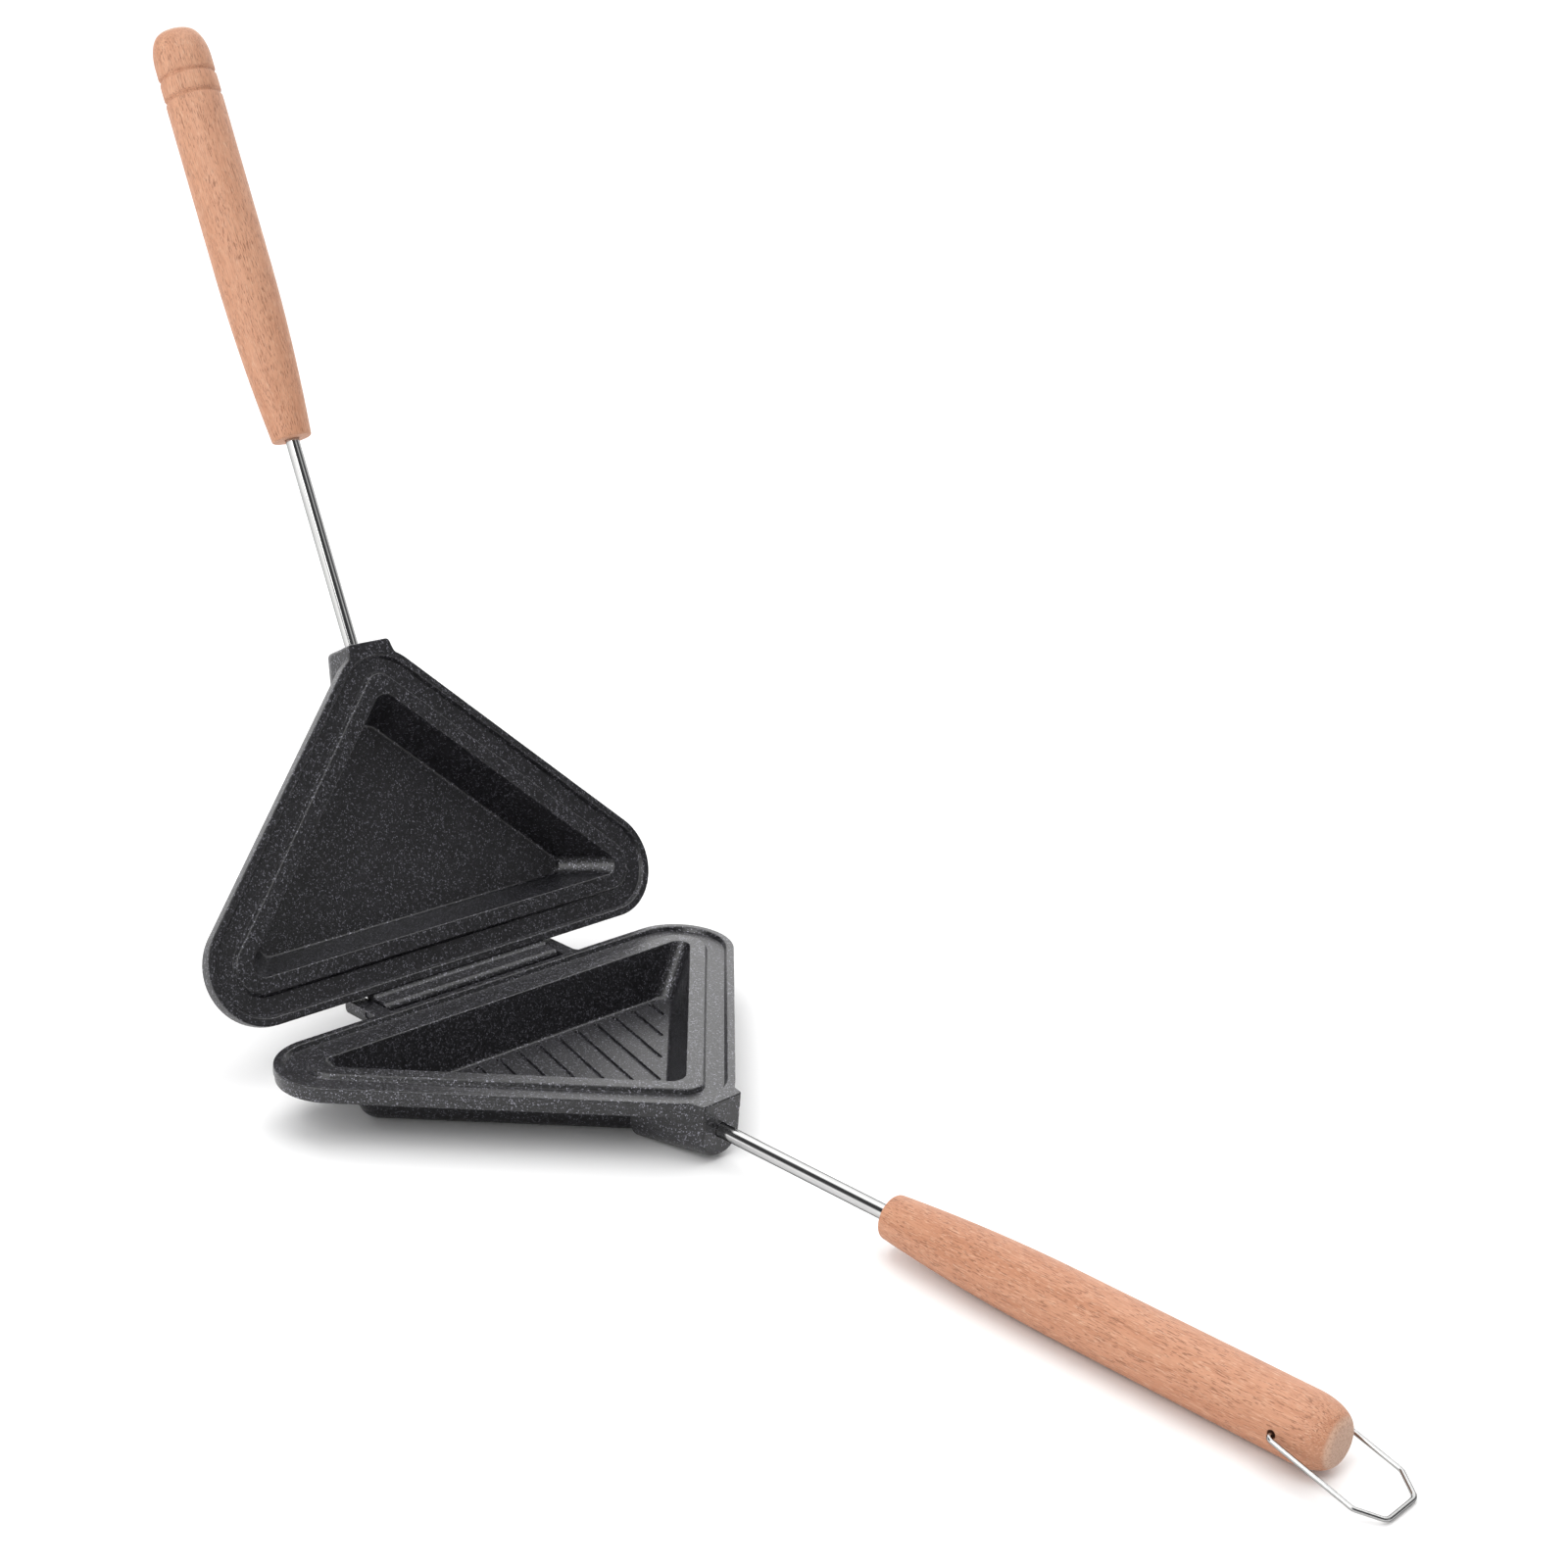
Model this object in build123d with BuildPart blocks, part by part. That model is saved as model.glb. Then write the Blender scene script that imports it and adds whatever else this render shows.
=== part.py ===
"""A double-sided sandwich pan: two hinged three-cornered dies on long wooden handles, with a wire lock.

All sizes are in millimetres. +X runs from the hinge to the lower handle's end, +Y along the hinge
and +Z up. The origin is the middle of the lower die's flat base, where the pan stands. The pan is
modelled open, with the upper die leaning back on its stops.
"""
from build123d import *
import os
from math import acos, asin, atan, atan2, cos, degrees, pi, radians, sin, sqrt, tan

# Plan of a die: a triangle with its long side at the hinge and its square corner in front
reach = 130.0              # hinge side to the sharp front corner
front_angle = 90.0         # between the two short sides
corner_radius = 20.8       # all three corners of the rim

# Section of a die, each inset measured square to the nearest side
lip_width = 2.7            # raised outer lip
channel_draft = 0.9        # run of each sloping channel wall
channel_depth = 1.7
land_inset = 11.1          # outer edge of the raised inner land
land_corner = 9.7          # land's corner radius at the hinge side
land_nose = 6.3            # and at the front
cavity_inset = 16.8        # edge of the cavity at the land
cavity_draft = 5.9         # run of the sloping cavity wall
cavity_corner = 4.3        # at the hinge side's two corners
cavity_nose = 5.8          # at the front corner
lip_clearance = 0.1        # each rim stays this far below the plane where the dies meet
lower_cavity = 18.2        # cavity depth of the lower die
upper_cavity = 17.1        # cavity depth of the upper die
floor_thickness = 3.5
tier_height = 2.9          # upper tier of the rim's side
rim_height = 5.6           # both tiers
tier_step = 0.5            # the lower tier is set in by this
wall_inset = 15.4          # outer wall where it leaves the rim
wall_draft = 5.2           # run of the outer wall down to the base
wall_corner = 7.4
base_round = 6.0           # round between wall and base

# Socket for the rod at the front corner
socket_projection = 2.6    # front face ahead of the rim's front corner
socket_length = 28.0
socket_half_width = 9.1    # at the front face
socket_back_half_width = 15.0
socket_belly_round = 8.4   # along both lower edges
socket_edge_round = 1.6
socket_blend = 2.6         # inside corner between rim and socket

# Grooves in the lower die's floor
groove_width = 1.9
groove_depth = 0.9
groove_pitch = 9.3
groove_slant = 15.5        # degrees off the pan's length
groove_start = 1.9         # from the hinge side of the floor
groove_end = 3.0           # from the short sides of the floor
groove_shortest = 6.0
groove_corner_gap = 13.6   # farthest groove's start to the floor's sharp corner, along the hinge

# Hinge
pin_back = 6.2             # pin axis behind the hinge side
pin_drop = 2.6             # pin axis below the plane where the dies meet
pin_radius = 1.2
pin_running = 0.06         # radial play of the upper die on the pin
pin_fixed = 0.01           # radial play of the pin in the lower die's ears
pin_inset = 0.3            # each end of the pin inside its ear's outer face
pin_bevel = 0.3
ear_outside = 46.8         # outer faces of the two ears, from the middle
ear_length = 13.0          # behind the pin axis
ear_tip_round = 2.2
ear_root_round = 3.0       # inside corner between each ear's outer face and the rim
hinge_root = 2.0           # ears and lug reach into the rim by this
lug_outside = 39.9         # outer faces of the upper die's lug
lug_side_play = 0.4
lug_gap = 0.5              # lug to the lower rim when shut
lug_toe = 1.2              # the lug's underside runs out this far before it drops to the pin
lug_shoulder = 0.6         # the lug's rounded shoulder, behind the pin axis
lug_shoulder_drop = 1.6    # and under the rim's face
lug_root_drop = 0.4
lug_round = 1.5
lug_hollow = 2.5           # inside round from the lug's underside to its knuckle
knuckle_radius = 2.7
stop_gap = 0.3             # upper rim to the ears when fully open
open_angle = 117.2

# Handles
rod_radius = 2.5
rod_play = 0.02
rod_end_gap = 0.3          # each end of the rod to the bottom of its bore
socket_bore_depth = 19.0   # bore in the die
grip_bore_depth = 32.0     # bore in the wood
lower_rod_free = 75.5      # bare rod from the socket to the grip
upper_rod_free = 80.5
lower_grip_length = 160.0
upper_grip_length = 156.5
grip_radius = 10.6
grip_gap = 0.8             # between the two grips when shut
grip_nose_radius = 7.4     # at the rod
grip_nose_bevel = 0.7
grip_swell_run = 68.0      # length over which the grip swells to its full radius
grip_swell_steps = 3       # straight tapers that follow the swell's wide arc
grip_end_radius = 5.2      # flat end
grip_end_run = 11.5        # length of the rounded end
grip_end_steps = 4         # short tapers that follow its quarter of an ellipse
seat_distance = 17.2       # the nearer turned groove, from the upper grip's end
seat_pitch = 8.1
seat_width = 2.2
seat_depth = 0.9
seat_overcut = 0.3

# Wire loop
wire_radius = 0.75
hole_radius = 1.35         # cross hole in the lower grip
hole_distance = 15.6       # from the lower grip's end
loop_side_gap = 1.35       # each leg to the grip
loop_shoulder = 7.8        # the legs turn in this far before the loop's end
loop_end_half = 7.3        # half of the short end
loop_over = 3.05           # wire clear over the shut upper grip
loop_bend = 3.0            # bend radius of the wire at the shoulders
loop_eye_bend = 1.7        # bend radius where the wire turns into the hole
loop_tail = 9.0            # wire inside the hole, from each leg
loop_table_gap = 0.3       # loop's end above the table at rest

# What follows from the sizes above
half_front = radians(front_angle / 2)
inradius = reach / (1 + 1 / sin(half_front))
hinge_x = -inradius
meet_z = lower_cavity + floor_thickness + lip_clearance
rim_z = meet_z - lip_clearance
wall_z = rim_z - rim_height
rod_z = meet_z - grip_radius - grip_gap / 2
socket_x = hinge_x + reach - corner_radius * (1 / sin(half_front) - 1) + socket_projection
socket_back_x = socket_x - socket_length
pin_x = hinge_x - pin_back
pin_z = meet_z - pin_drop
pin_axis = Axis((pin_x, 0, pin_z), (0, 1, 0))
ear_inside = lug_outside + lug_side_play
lower_grip_x = socket_x + lower_rod_free
upper_grip_x = socket_x + upper_rod_free
hole_x = lower_grip_x + lower_grip_length - hole_distance
loop_half_width = grip_radius + loop_side_gap + wire_radius
loop_reach = 2 * (meet_z - rod_z) + grip_radius + wire_radius + loop_over
loop_drop_angle = asin((rod_z - wire_radius - loop_table_gap) / loop_reach)
side_normals = ((-1, 0), (sin(half_front), cos(half_front)), (sin(half_front), -cos(half_front)))


def triangle_half_base(inset):
    """Half the length of the hinge side of the sharp triangle drawn in from the rim by an inset."""
    r = inradius - inset
    return (r + r / sin(half_front)) * tan(half_front)


def outline(height, inset, corner=0.0, nose=0.0):
    """The triangle at a height, drawn in from the rim by an inset, with its corners rounded if asked."""
    r = inradius - inset
    with BuildSketch(Plane.XY.offset(height)) as shape:
        with BuildLine():
            Polyline((-r, -triangle_half_base(inset)), (r / sin(half_front), 0),
                     (-r, triangle_half_base(inset)), close=True)
        make_face()
        if corner:
            fillet(shape.vertices().sort_by(Axis.X)[:2], corner)
            fillet(shape.vertices().sort_by(Axis.X)[-1], nose)
    return shape.sketch


def narrowing(profile, height, run):
    """A block raised on a profile, drawn in by a run on its way up."""
    with BuildPart() as block:
        extrude(profile, amount=height, taper=degrees(atan(run / height)))
    return block.part


def drafted_block(foot_z, inset, height, run):
    """A sharp three-cornered block, each side drawn in by a run on its way up."""
    foot = inradius - inset
    with BuildPart() as block:
        extrude(outline(foot_z, inset), amount=height)
        for normal_x, normal_y in side_normals:
            side = Plane(origin=(normal_x * foot, normal_y * foot, foot_z), z_dir=(normal_x, normal_y, run / height))
            split(bisect_by=side, keep=Keep.BOTTOM)
    return block.part


def corner_edges(block):
    """The slanting edges of a tapered block, from the hinge side to the front."""
    return block.edges().filter_by(lambda e: abs((e @ 0).Z - (e @ 1).Z) > 1).sort_by(Axis.X)


def hollow_block(depth):
    """The tapering space for the bread. Upside down: the land is below and the cavity's floor above."""
    with BuildPart() as space:
        add(drafted_block(rim_z, cavity_inset, depth, cavity_draft))
        fillet(corner_edges(space)[-1], cavity_nose)
        fillet(corner_edges(space)[:2], cavity_corner)
    return space.part


def body_block(depth):
    """The outside of a die below its rim. Upside down: the rim is below and the base above."""
    height = depth + floor_thickness - rim_height
    with BuildPart() as block:
        add(drafted_block(rim_z + rim_height, wall_inset, height, wall_draft))
        fillet(corner_edges(block), wall_corner)
        fillet(block.faces().sort_by(Axis.Z)[-1].edges(), base_round)
    return block.part


def channel_ring():
    """The space of the shallow channel between the lip and the inner land."""
    mouth = outline(rim_z, lip_width, corner_radius - lip_width, corner_radius - lip_width)
    foot = outline(rim_z - channel_depth, land_inset - channel_draft,
                   land_corner + channel_draft, land_nose + channel_draft)
    with BuildPart() as ring:
        add(narrowing(mouth, channel_depth, channel_draft).mirror(Plane.XY.offset(rim_z)))
        add(narrowing(foot, channel_depth, channel_draft), mode=Mode.SUBTRACT)
    return ring.part


def socket_plan(height):
    """The socket seen from above: a trapezium that narrows towards the rod."""
    with BuildSketch(Plane.XY.offset(height)) as shape:
        with BuildLine():
            Polyline((socket_back_x, socket_back_half_width), (socket_x, socket_half_width),
                     (socket_x, -socket_half_width), (socket_back_x, -socket_back_half_width), close=True)
        make_face()
    return shape.sketch


def socket_block(base_z):
    """The socket's body, its belly rising from the base to the underside round the rod."""
    front_z = rod_z - socket_half_width
    with BuildPart() as block:
        extrude(socket_plan(base_z), amount=rim_z - base_z)
        with BuildSketch(Plane.XZ):
            with BuildLine():
                Polyline((socket_back_x, base_z), (socket_x, base_z), (socket_x, front_z), close=True)
            make_face()
        extrude(amount=socket_back_half_width, both=True, mode=Mode.SUBTRACT)
        belly = block.faces().sort_by(Axis.Z)[0].edges()
        fillet(belly.filter_by(lambda e: abs((e @ 0).X - (e @ 1).X) > 1), socket_belly_round)
    return block.part


def rim_tier(height, inset):
    """One tier of the rim with the socket's plan grown out of its front corner."""
    with BuildSketch(Plane.XY.offset(height)) as shape:
        add(outline(height, inset, corner_radius - inset, corner_radius - inset))
        add(socket_plan(height))
        inner = shape.vertices().filter_by(lambda v: 0 < v.X < socket_x - 0.1).sort_by(Axis.X)[-2:]
        fillet(inner, socket_blend)
    return shape.sketch


def die_blank(depth):
    """A die without its hinge: rim, body, socket, channel and cavity."""
    base_z = rim_z - depth - floor_thickness
    with BuildPart() as blank:
        add(body_block(depth).mirror(Plane.XY.offset(rim_z)))
        extrude(rim_tier(wall_z, tier_step), amount=rim_height - tier_height)
        extrude(rim_tier(rim_z - tier_height, 0), amount=tier_height)
        add(socket_block(base_z))
        front = blank.faces().sort_by(Axis.X)[-1]
        fillet(front.edges().filter_by(Axis.Z), socket_edge_round)
        add(channel_ring(), mode=Mode.SUBTRACT)
        add(hollow_block(depth).mirror(Plane.XY.offset(rim_z)), mode=Mode.SUBTRACT)
        with Locations(Plane(origin=(socket_x, 0, rod_z), z_dir=(1, 0, 0))):
            Hole(rod_radius + rod_play, depth=socket_bore_depth)
    return blank.part


def opened(x, z):
    """Where a point of the shut upper die goes when the pan is fully open."""
    turn = radians(open_angle)
    dx = x - pin_x
    dz = z - pin_z
    return pin_x + dx * cos(turn) - dz * sin(turn), pin_z + dx * sin(turn) + dz * cos(turn)


# Upper rim's rear corner when open: the ears end just under it and carry it
stop_corner = opened(hinge_x + tier_step, meet_z + lip_clearance + rim_height)
ear_top = stop_corner[1] - stop_gap
ear_bottom = wall_z

# Lower die, with two ears for the pin and slanting grooves in its floor
ear_tiers = ((ear_bottom, rim_z - tier_height, tier_step), (rim_z - tier_height, ear_top, 0.0))
floor_z = rim_z - lower_cavity
floor_inset = cavity_inset + cavity_draft
floor_back = hinge_x + floor_inset
floor_tip = (inradius - floor_inset) / sin(half_front)
slant = radians(groove_slant)
side_normal = side_normals[1]


def groove_run(start_x, start_y):
    """How far a groove runs before it comes to the margin along a short side."""
    limit = floor_tip * side_normal[0] - groove_end
    runs = []
    for side in (1, -1):
        gap = limit - (start_x * side_normal[0] + side * start_y * side_normal[1])
        speed = cos(slant) * side_normal[0] - side * sin(slant) * side_normal[1]
        runs.append(gap / speed)
    return min(runs)


def floor_grooves():
    """Start and length of each groove, from the far end of the floor to the near one."""
    grooves = []
    start_x = floor_back + groove_start
    start_y = triangle_half_base(floor_inset) - groove_corner_gap
    last_y = -start_y
    while start_y > last_y:
        run = groove_run(start_x, start_y)
        if run > groove_shortest:
            grooves.append((start_x, start_y, run))
        start_y -= groove_pitch
    return grooves


def ear_plan(side, height, root_inset):
    """One ear seen from above, with the round where its outer face meets the rim."""
    root_x = hinge_x + root_inset
    foot = ear_outside + 2 * ear_root_round
    with BuildSketch(Plane.XY.offset(height)) as shape:
        with Locations((hinge_x + hinge_root, side * (ear_inside + ear_outside) / 2)):
            Rectangle(pin_back + ear_length + hinge_root, ear_outside - ear_inside, align=(Align.MAX, Align.CENTER))
        with Locations(((root_x + hinge_x + hinge_root) / 2, side * (ear_inside + foot) / 2)):
            Rectangle(hinge_root - root_inset, foot - ear_inside)
        inner = shape.vertices().sort_by_distance((root_x, side * ear_outside))[0]
        fillet(inner, ear_root_round)
    return shape.sketch


with BuildPart() as lower_die:
    add(die_blank(lower_cavity))
    half = groove_width / 2
    for start_x, start_y, run in floor_grooves():
        middle_x = start_x + run / 2 * cos(slant)
        middle_y = start_y - run / 2 * sin(slant)
        with BuildSketch(Plane.XY.offset(floor_z)):
            with Locations((middle_x, middle_y)):
                Polygon((-run / 2, 0), (half - run / 2, -half), (run / 2 - half, -half),
                        (run / 2, 0), (run / 2 - half, half), (half - run / 2, half), rotation=-groove_slant)
        extrude(amount=-groove_depth, mode=Mode.SUBTRACT)
    for side in (1, -1):
        for low, high, root_inset in ear_tiers:
            extrude(ear_plan(side, low, root_inset), amount=high - low)
    tips = lower_die.faces().sort_by(Axis.X)[:2]
    fillet(tips.edges().filter_by(Axis.Y), ear_tip_round)
    with Locations(Plane(origin=(pin_x, 0, pin_z), z_dir=(0, 1, 0))):
        Hole(pin_radius + pin_fixed)
lower_die.part.label = "lower_die"

# Upper die, made shut over the lower one with its lug round the pin, then swung open
lug_floor = meet_z + lug_gap
lug_top = meet_z + lip_clearance + rim_height
toe_x = hinge_x - lug_toe
toe_span = sqrt((toe_x - pin_x) ** 2 + (lug_floor - pin_z) ** 2)
touch = atan2(lug_floor - pin_z, toe_x - pin_x) - acos(knuckle_radius / toe_span)
with BuildPart() as shut_die:
    add(die_blank(upper_cavity).mirror(Plane.XY.offset(meet_z)))
    with BuildSketch(Plane.XZ.offset(lug_outside)) as lug_side:
        with BuildLine():
            Polyline((hinge_x + hinge_root, lug_floor), (toe_x, lug_floor),
                     (pin_x + knuckle_radius * cos(touch), pin_z + knuckle_radius * sin(touch)),
                     (pin_x, pin_z), (pin_x - knuckle_radius, pin_z),
                     (pin_x - lug_shoulder, lug_top - lug_shoulder_drop),
                     (hinge_x + hinge_root, lug_top - lug_root_drop), close=True)
        make_face()
        shoulder = (pin_x - lug_shoulder, lug_top - lug_shoulder_drop)
        fillet(lug_side.vertices().sort_by_distance(shoulder)[0], lug_round)
        fillet(lug_side.vertices().sort_by_distance((toe_x, lug_floor))[0], lug_hollow)
        with Locations((pin_x, pin_z)):
            Circle(knuckle_radius)
    extrude(amount=-2 * lug_outside)
    with Locations(Plane(origin=(pin_x, 0, pin_z), z_dir=(0, 1, 0))):
        Hole(pin_radius + pin_running)

with BuildPart() as upper_die:
    add(shut_die.part.rotate(pin_axis, -open_angle))
upper_die.part.label = "upper_die"

# Hinge pin, pressed through both ears to just inside their outer faces
with BuildPart() as hinge_pin:
    with Locations(Plane(origin=(pin_x, 0, pin_z), z_dir=(0, 1, 0))):
        Cylinder(pin_radius, 2 * (ear_outside - pin_inset))
    chamfer(hinge_pin.faces().filter_by(Axis.Y).edges(), pin_bevel)
hinge_pin.part.label = "hinge_pin"


def rod_shape(grip_x):
    """A straight rod from the die's socket into the grip."""
    back = socket_x - socket_bore_depth + rod_end_gap
    front = grip_x + grip_bore_depth - rod_end_gap
    with BuildPart() as rod:
        with Locations(Plane(origin=(back, 0, rod_z), z_dir=(1, 0, 0))):
            Cylinder(rod_radius, front - back, align=(Align.CENTER, Align.CENTER, Align.MIN))
    return rod.part


def swell_points():
    """Corners of the straight tapers from the grip's nose up to its barrel, on one wide arc."""
    run = grip_swell_run - grip_nose_bevel
    rise = grip_radius - grip_nose_radius
    arc = (run ** 2 + rise ** 2) / (2 * rise)
    points = []
    for step in range(grip_swell_steps + 1):
        left = run * (1 - step / grip_swell_steps)
        points.append((grip_swell_run - left, grip_radius - arc + sqrt(arc ** 2 - left ** 2)))
    return points


def end_points(length):
    """Corners of the short tapers from the grip's barrel round to its flat end."""
    points = []
    for step in range(grip_end_steps + 1):
        angle = pi / 2 * step / grip_end_steps
        points.append((length - grip_end_run * (1 - sin(angle)),
                       grip_end_radius + (grip_radius - grip_end_radius) * cos(angle)))
    return points


def grip_shape(grip_x, length):
    """A turned wooden grip on the rod, with a bore at its thin end and a rounded far end."""
    with BuildPart() as grip:
        with BuildSketch(Plane(origin=(grip_x, 0, rod_z), x_dir=(1, 0, 0), z_dir=(0, -1, 0))):
            with BuildLine():
                Polyline((0, 0), (0, grip_nose_radius - grip_nose_bevel), *swell_points(), *end_points(length),
                         (length, 0), close=True)
            make_face()
        revolve(axis=Axis((grip_x, 0, rod_z), (1, 0, 0)))
        with Locations(Plane(origin=(grip_x, 0, rod_z), z_dir=(-1, 0, 0))):
            Hole(rod_radius + rod_play, depth=grip_bore_depth)
    return grip.part


with BuildPart() as lower_rod:
    add(rod_shape(lower_grip_x))
lower_rod.part.label = "lower_rod"

with BuildPart() as upper_rod:
    add(rod_shape(upper_grip_x).mirror(Plane.XY.offset(meet_z)).rotate(pin_axis, -open_angle))
upper_rod.part.label = "upper_rod"

# Lower grip, with the cross hole for the wire loop
with BuildPart() as lower_grip:
    add(grip_shape(lower_grip_x, lower_grip_length))
    with Locations(Plane(origin=(hole_x, 0, rod_z), z_dir=(0, 1, 0))):
        Hole(hole_radius)
lower_grip.part.label = "lower_grip"

# Upper grip, with two turned grooves that seat the loop
seat_half = seat_width / 2 + seat_overcut
with BuildPart() as shut_grip:
    add(grip_shape(upper_grip_x, upper_grip_length))
    for step in (0, 1):
        seat_x = upper_grip_x + upper_grip_length - seat_distance - step * seat_pitch
        with BuildSketch(Plane.XZ):
            with BuildLine():
                Polyline((seat_x - seat_half, rod_z + grip_radius + seat_overcut),
                         (seat_x, rod_z + grip_radius - seat_depth),
                         (seat_x + seat_half, rod_z + grip_radius + seat_overcut), close=True)
            make_face()
        revolve(axis=Axis((seat_x, 0, rod_z), (1, 0, 0)), mode=Mode.SUBTRACT)

with BuildPart() as upper_grip:
    add(shut_grip.part.mirror(Plane.XY.offset(meet_z)).rotate(pin_axis, -open_angle))
upper_grip.part.label = "upper_grip"

# Wire loop, hung in the lower grip's cross hole and drooping to the table
droop_plane = Plane((hole_x, 0, rod_z), x_dir=(cos(loop_drop_angle), 0, -sin(loop_drop_angle)),
                    z_dir=(sin(loop_drop_angle), 0, cos(loop_drop_angle)))
loop_leg = loop_reach - loop_shoulder
with BuildPart() as lock_loop:
    with BuildLine(droop_plane) as path:
        FilletPolyline((0, loop_half_width - loop_tail), (0, loop_half_width), (loop_leg, loop_half_width),
                       (loop_reach, loop_end_half), (loop_reach, -loop_end_half),
                       (loop_leg, -loop_half_width), (0, -loop_half_width), (0, loop_tail - loop_half_width),
                       radius=[loop_eye_bend, loop_bend, loop_bend, loop_bend, loop_bend, loop_eye_bend])
    with BuildSketch(Plane(origin=path.line @ 0, z_dir=path.line % 0)):
        Circle(wire_radius)
    sweep()
lock_loop.part.label = "lock_loop"

os.makedirs("parts", exist_ok=True)
for piece in (lower_die, upper_die, hinge_pin, lower_rod, upper_rod, lower_grip, upper_grip, lock_loop):
    export_step(piece.part, f"parts/{piece.part.label}.step")
    box = piece.part.bounding_box()
    print(piece.part.label, "volume", round(piece.part.volume, 1), "x", round(box.min.X, 1), round(box.max.X, 1),
          "y", round(box.min.Y, 1), round(box.max.Y, 1), "z", round(box.min.Z, 2), round(box.max.Z, 1))
print("hinge axis", round(pin_x, 4), round(pin_z, 4), "loop axis", round(hole_x, 4), round(rod_z, 4))
print("meeting plane", round(meet_z, 3), "ear top", round(ear_top, 3), "loop reach", round(loop_reach, 3),
      "loop droop", round(degrees(loop_drop_angle), 3))
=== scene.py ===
"""Looks of a double-sided sandwich pan: two speckled dies, steel rods, turned beech grips and a wire loop.

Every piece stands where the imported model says, with the pan open as it is at rest. Plain numbers are in mm
and become metres where a mesh is drawn. Vectors and matrices that place a piece are in metres.
"""
import logging
from dataclasses import dataclass
from enum import Enum
from math import acos, atan2, cos, degrees, pi, radians, sin, sqrt, tan
from typing import Any

import bmesh
import bpy
from mathutils import Matrix, Vector


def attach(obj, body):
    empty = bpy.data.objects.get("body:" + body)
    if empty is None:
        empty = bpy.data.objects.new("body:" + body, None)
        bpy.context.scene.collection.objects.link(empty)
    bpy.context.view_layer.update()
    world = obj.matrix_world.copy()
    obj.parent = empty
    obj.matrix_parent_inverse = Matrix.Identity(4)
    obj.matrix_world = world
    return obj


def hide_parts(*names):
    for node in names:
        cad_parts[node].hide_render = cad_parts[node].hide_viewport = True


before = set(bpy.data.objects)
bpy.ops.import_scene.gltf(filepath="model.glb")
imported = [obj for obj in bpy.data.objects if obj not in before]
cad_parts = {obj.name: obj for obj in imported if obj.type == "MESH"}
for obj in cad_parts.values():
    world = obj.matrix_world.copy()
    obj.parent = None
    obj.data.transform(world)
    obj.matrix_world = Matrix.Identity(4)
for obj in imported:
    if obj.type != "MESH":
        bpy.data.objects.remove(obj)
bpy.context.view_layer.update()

log = logging.getLogger("sandwich_pan")

Triple = tuple[float, float, float]
Colour = Triple
Point = tuple[float, float]
Outline = list[Vector]

MM = 0.001
SHADE_ANGLE = 35.0
MERGE = 1e-6


class Body(Enum):
    """The moving bodies of the pan."""

    LOWER = "lower_pan"
    UPPER = "upper_pan"
    LOOP = "loop"


class Slot(Enum):
    """The material slots of the record."""

    DIE = "coated_die"
    STEEL = "polished_steel"
    WIRE = "wire"
    BEECH = "beech"


class Signal:
    """One output of a shader node, which can be used in sums and products."""

    def __init__(self, shader: "Shader", socket: bpy.types.NodeSocket) -> None:
        """Holds an output socket and the shader that it belongs to."""
        self.shader = shader
        self.socket = socket

    def maths(self, operation: str, *others: Any) -> "Signal":
        """Adds a Math node with this signal as its first value."""
        return self.shader.node("ShaderNodeMath", dict(enumerate((self, *others))), operation=operation)

    def __add__(self, other: Any) -> "Signal":
        """Sum."""
        return self.maths("ADD", other)

    __radd__ = __add__

    def __mul__(self, other: Any) -> "Signal":
        """Product."""
        return self.maths("MULTIPLY", other)

    __rmul__ = __mul__

    def __sub__(self, other: Any) -> "Signal":
        """Difference."""
        return self.maths("SUBTRACT", other)

    def __rsub__(self, other: float) -> "Signal":
        """Difference with this signal taken away."""
        return self.shader.node("ShaderNodeMath", {0: other, 1: self}, operation="SUBTRACT")

    def ramp(self, low: float, high: float) -> "Signal":
        """Rises smoothly from 0 to 1 between two values, or falls if low is above high.

        Args:
            low: the value that gives 0.
            high: the value that gives 1.

        Returns:
            The signal between 0 and 1.
        """
        if low > high:
            return 1 - self.ramp(high, low)
        limits = {0: self, 1: low, 2: high, 3: 0.0, 4: 1.0}
        return self.shader.node("ShaderNodeMapRange", limits, interpolation_type="SMOOTHSTEP")


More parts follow.
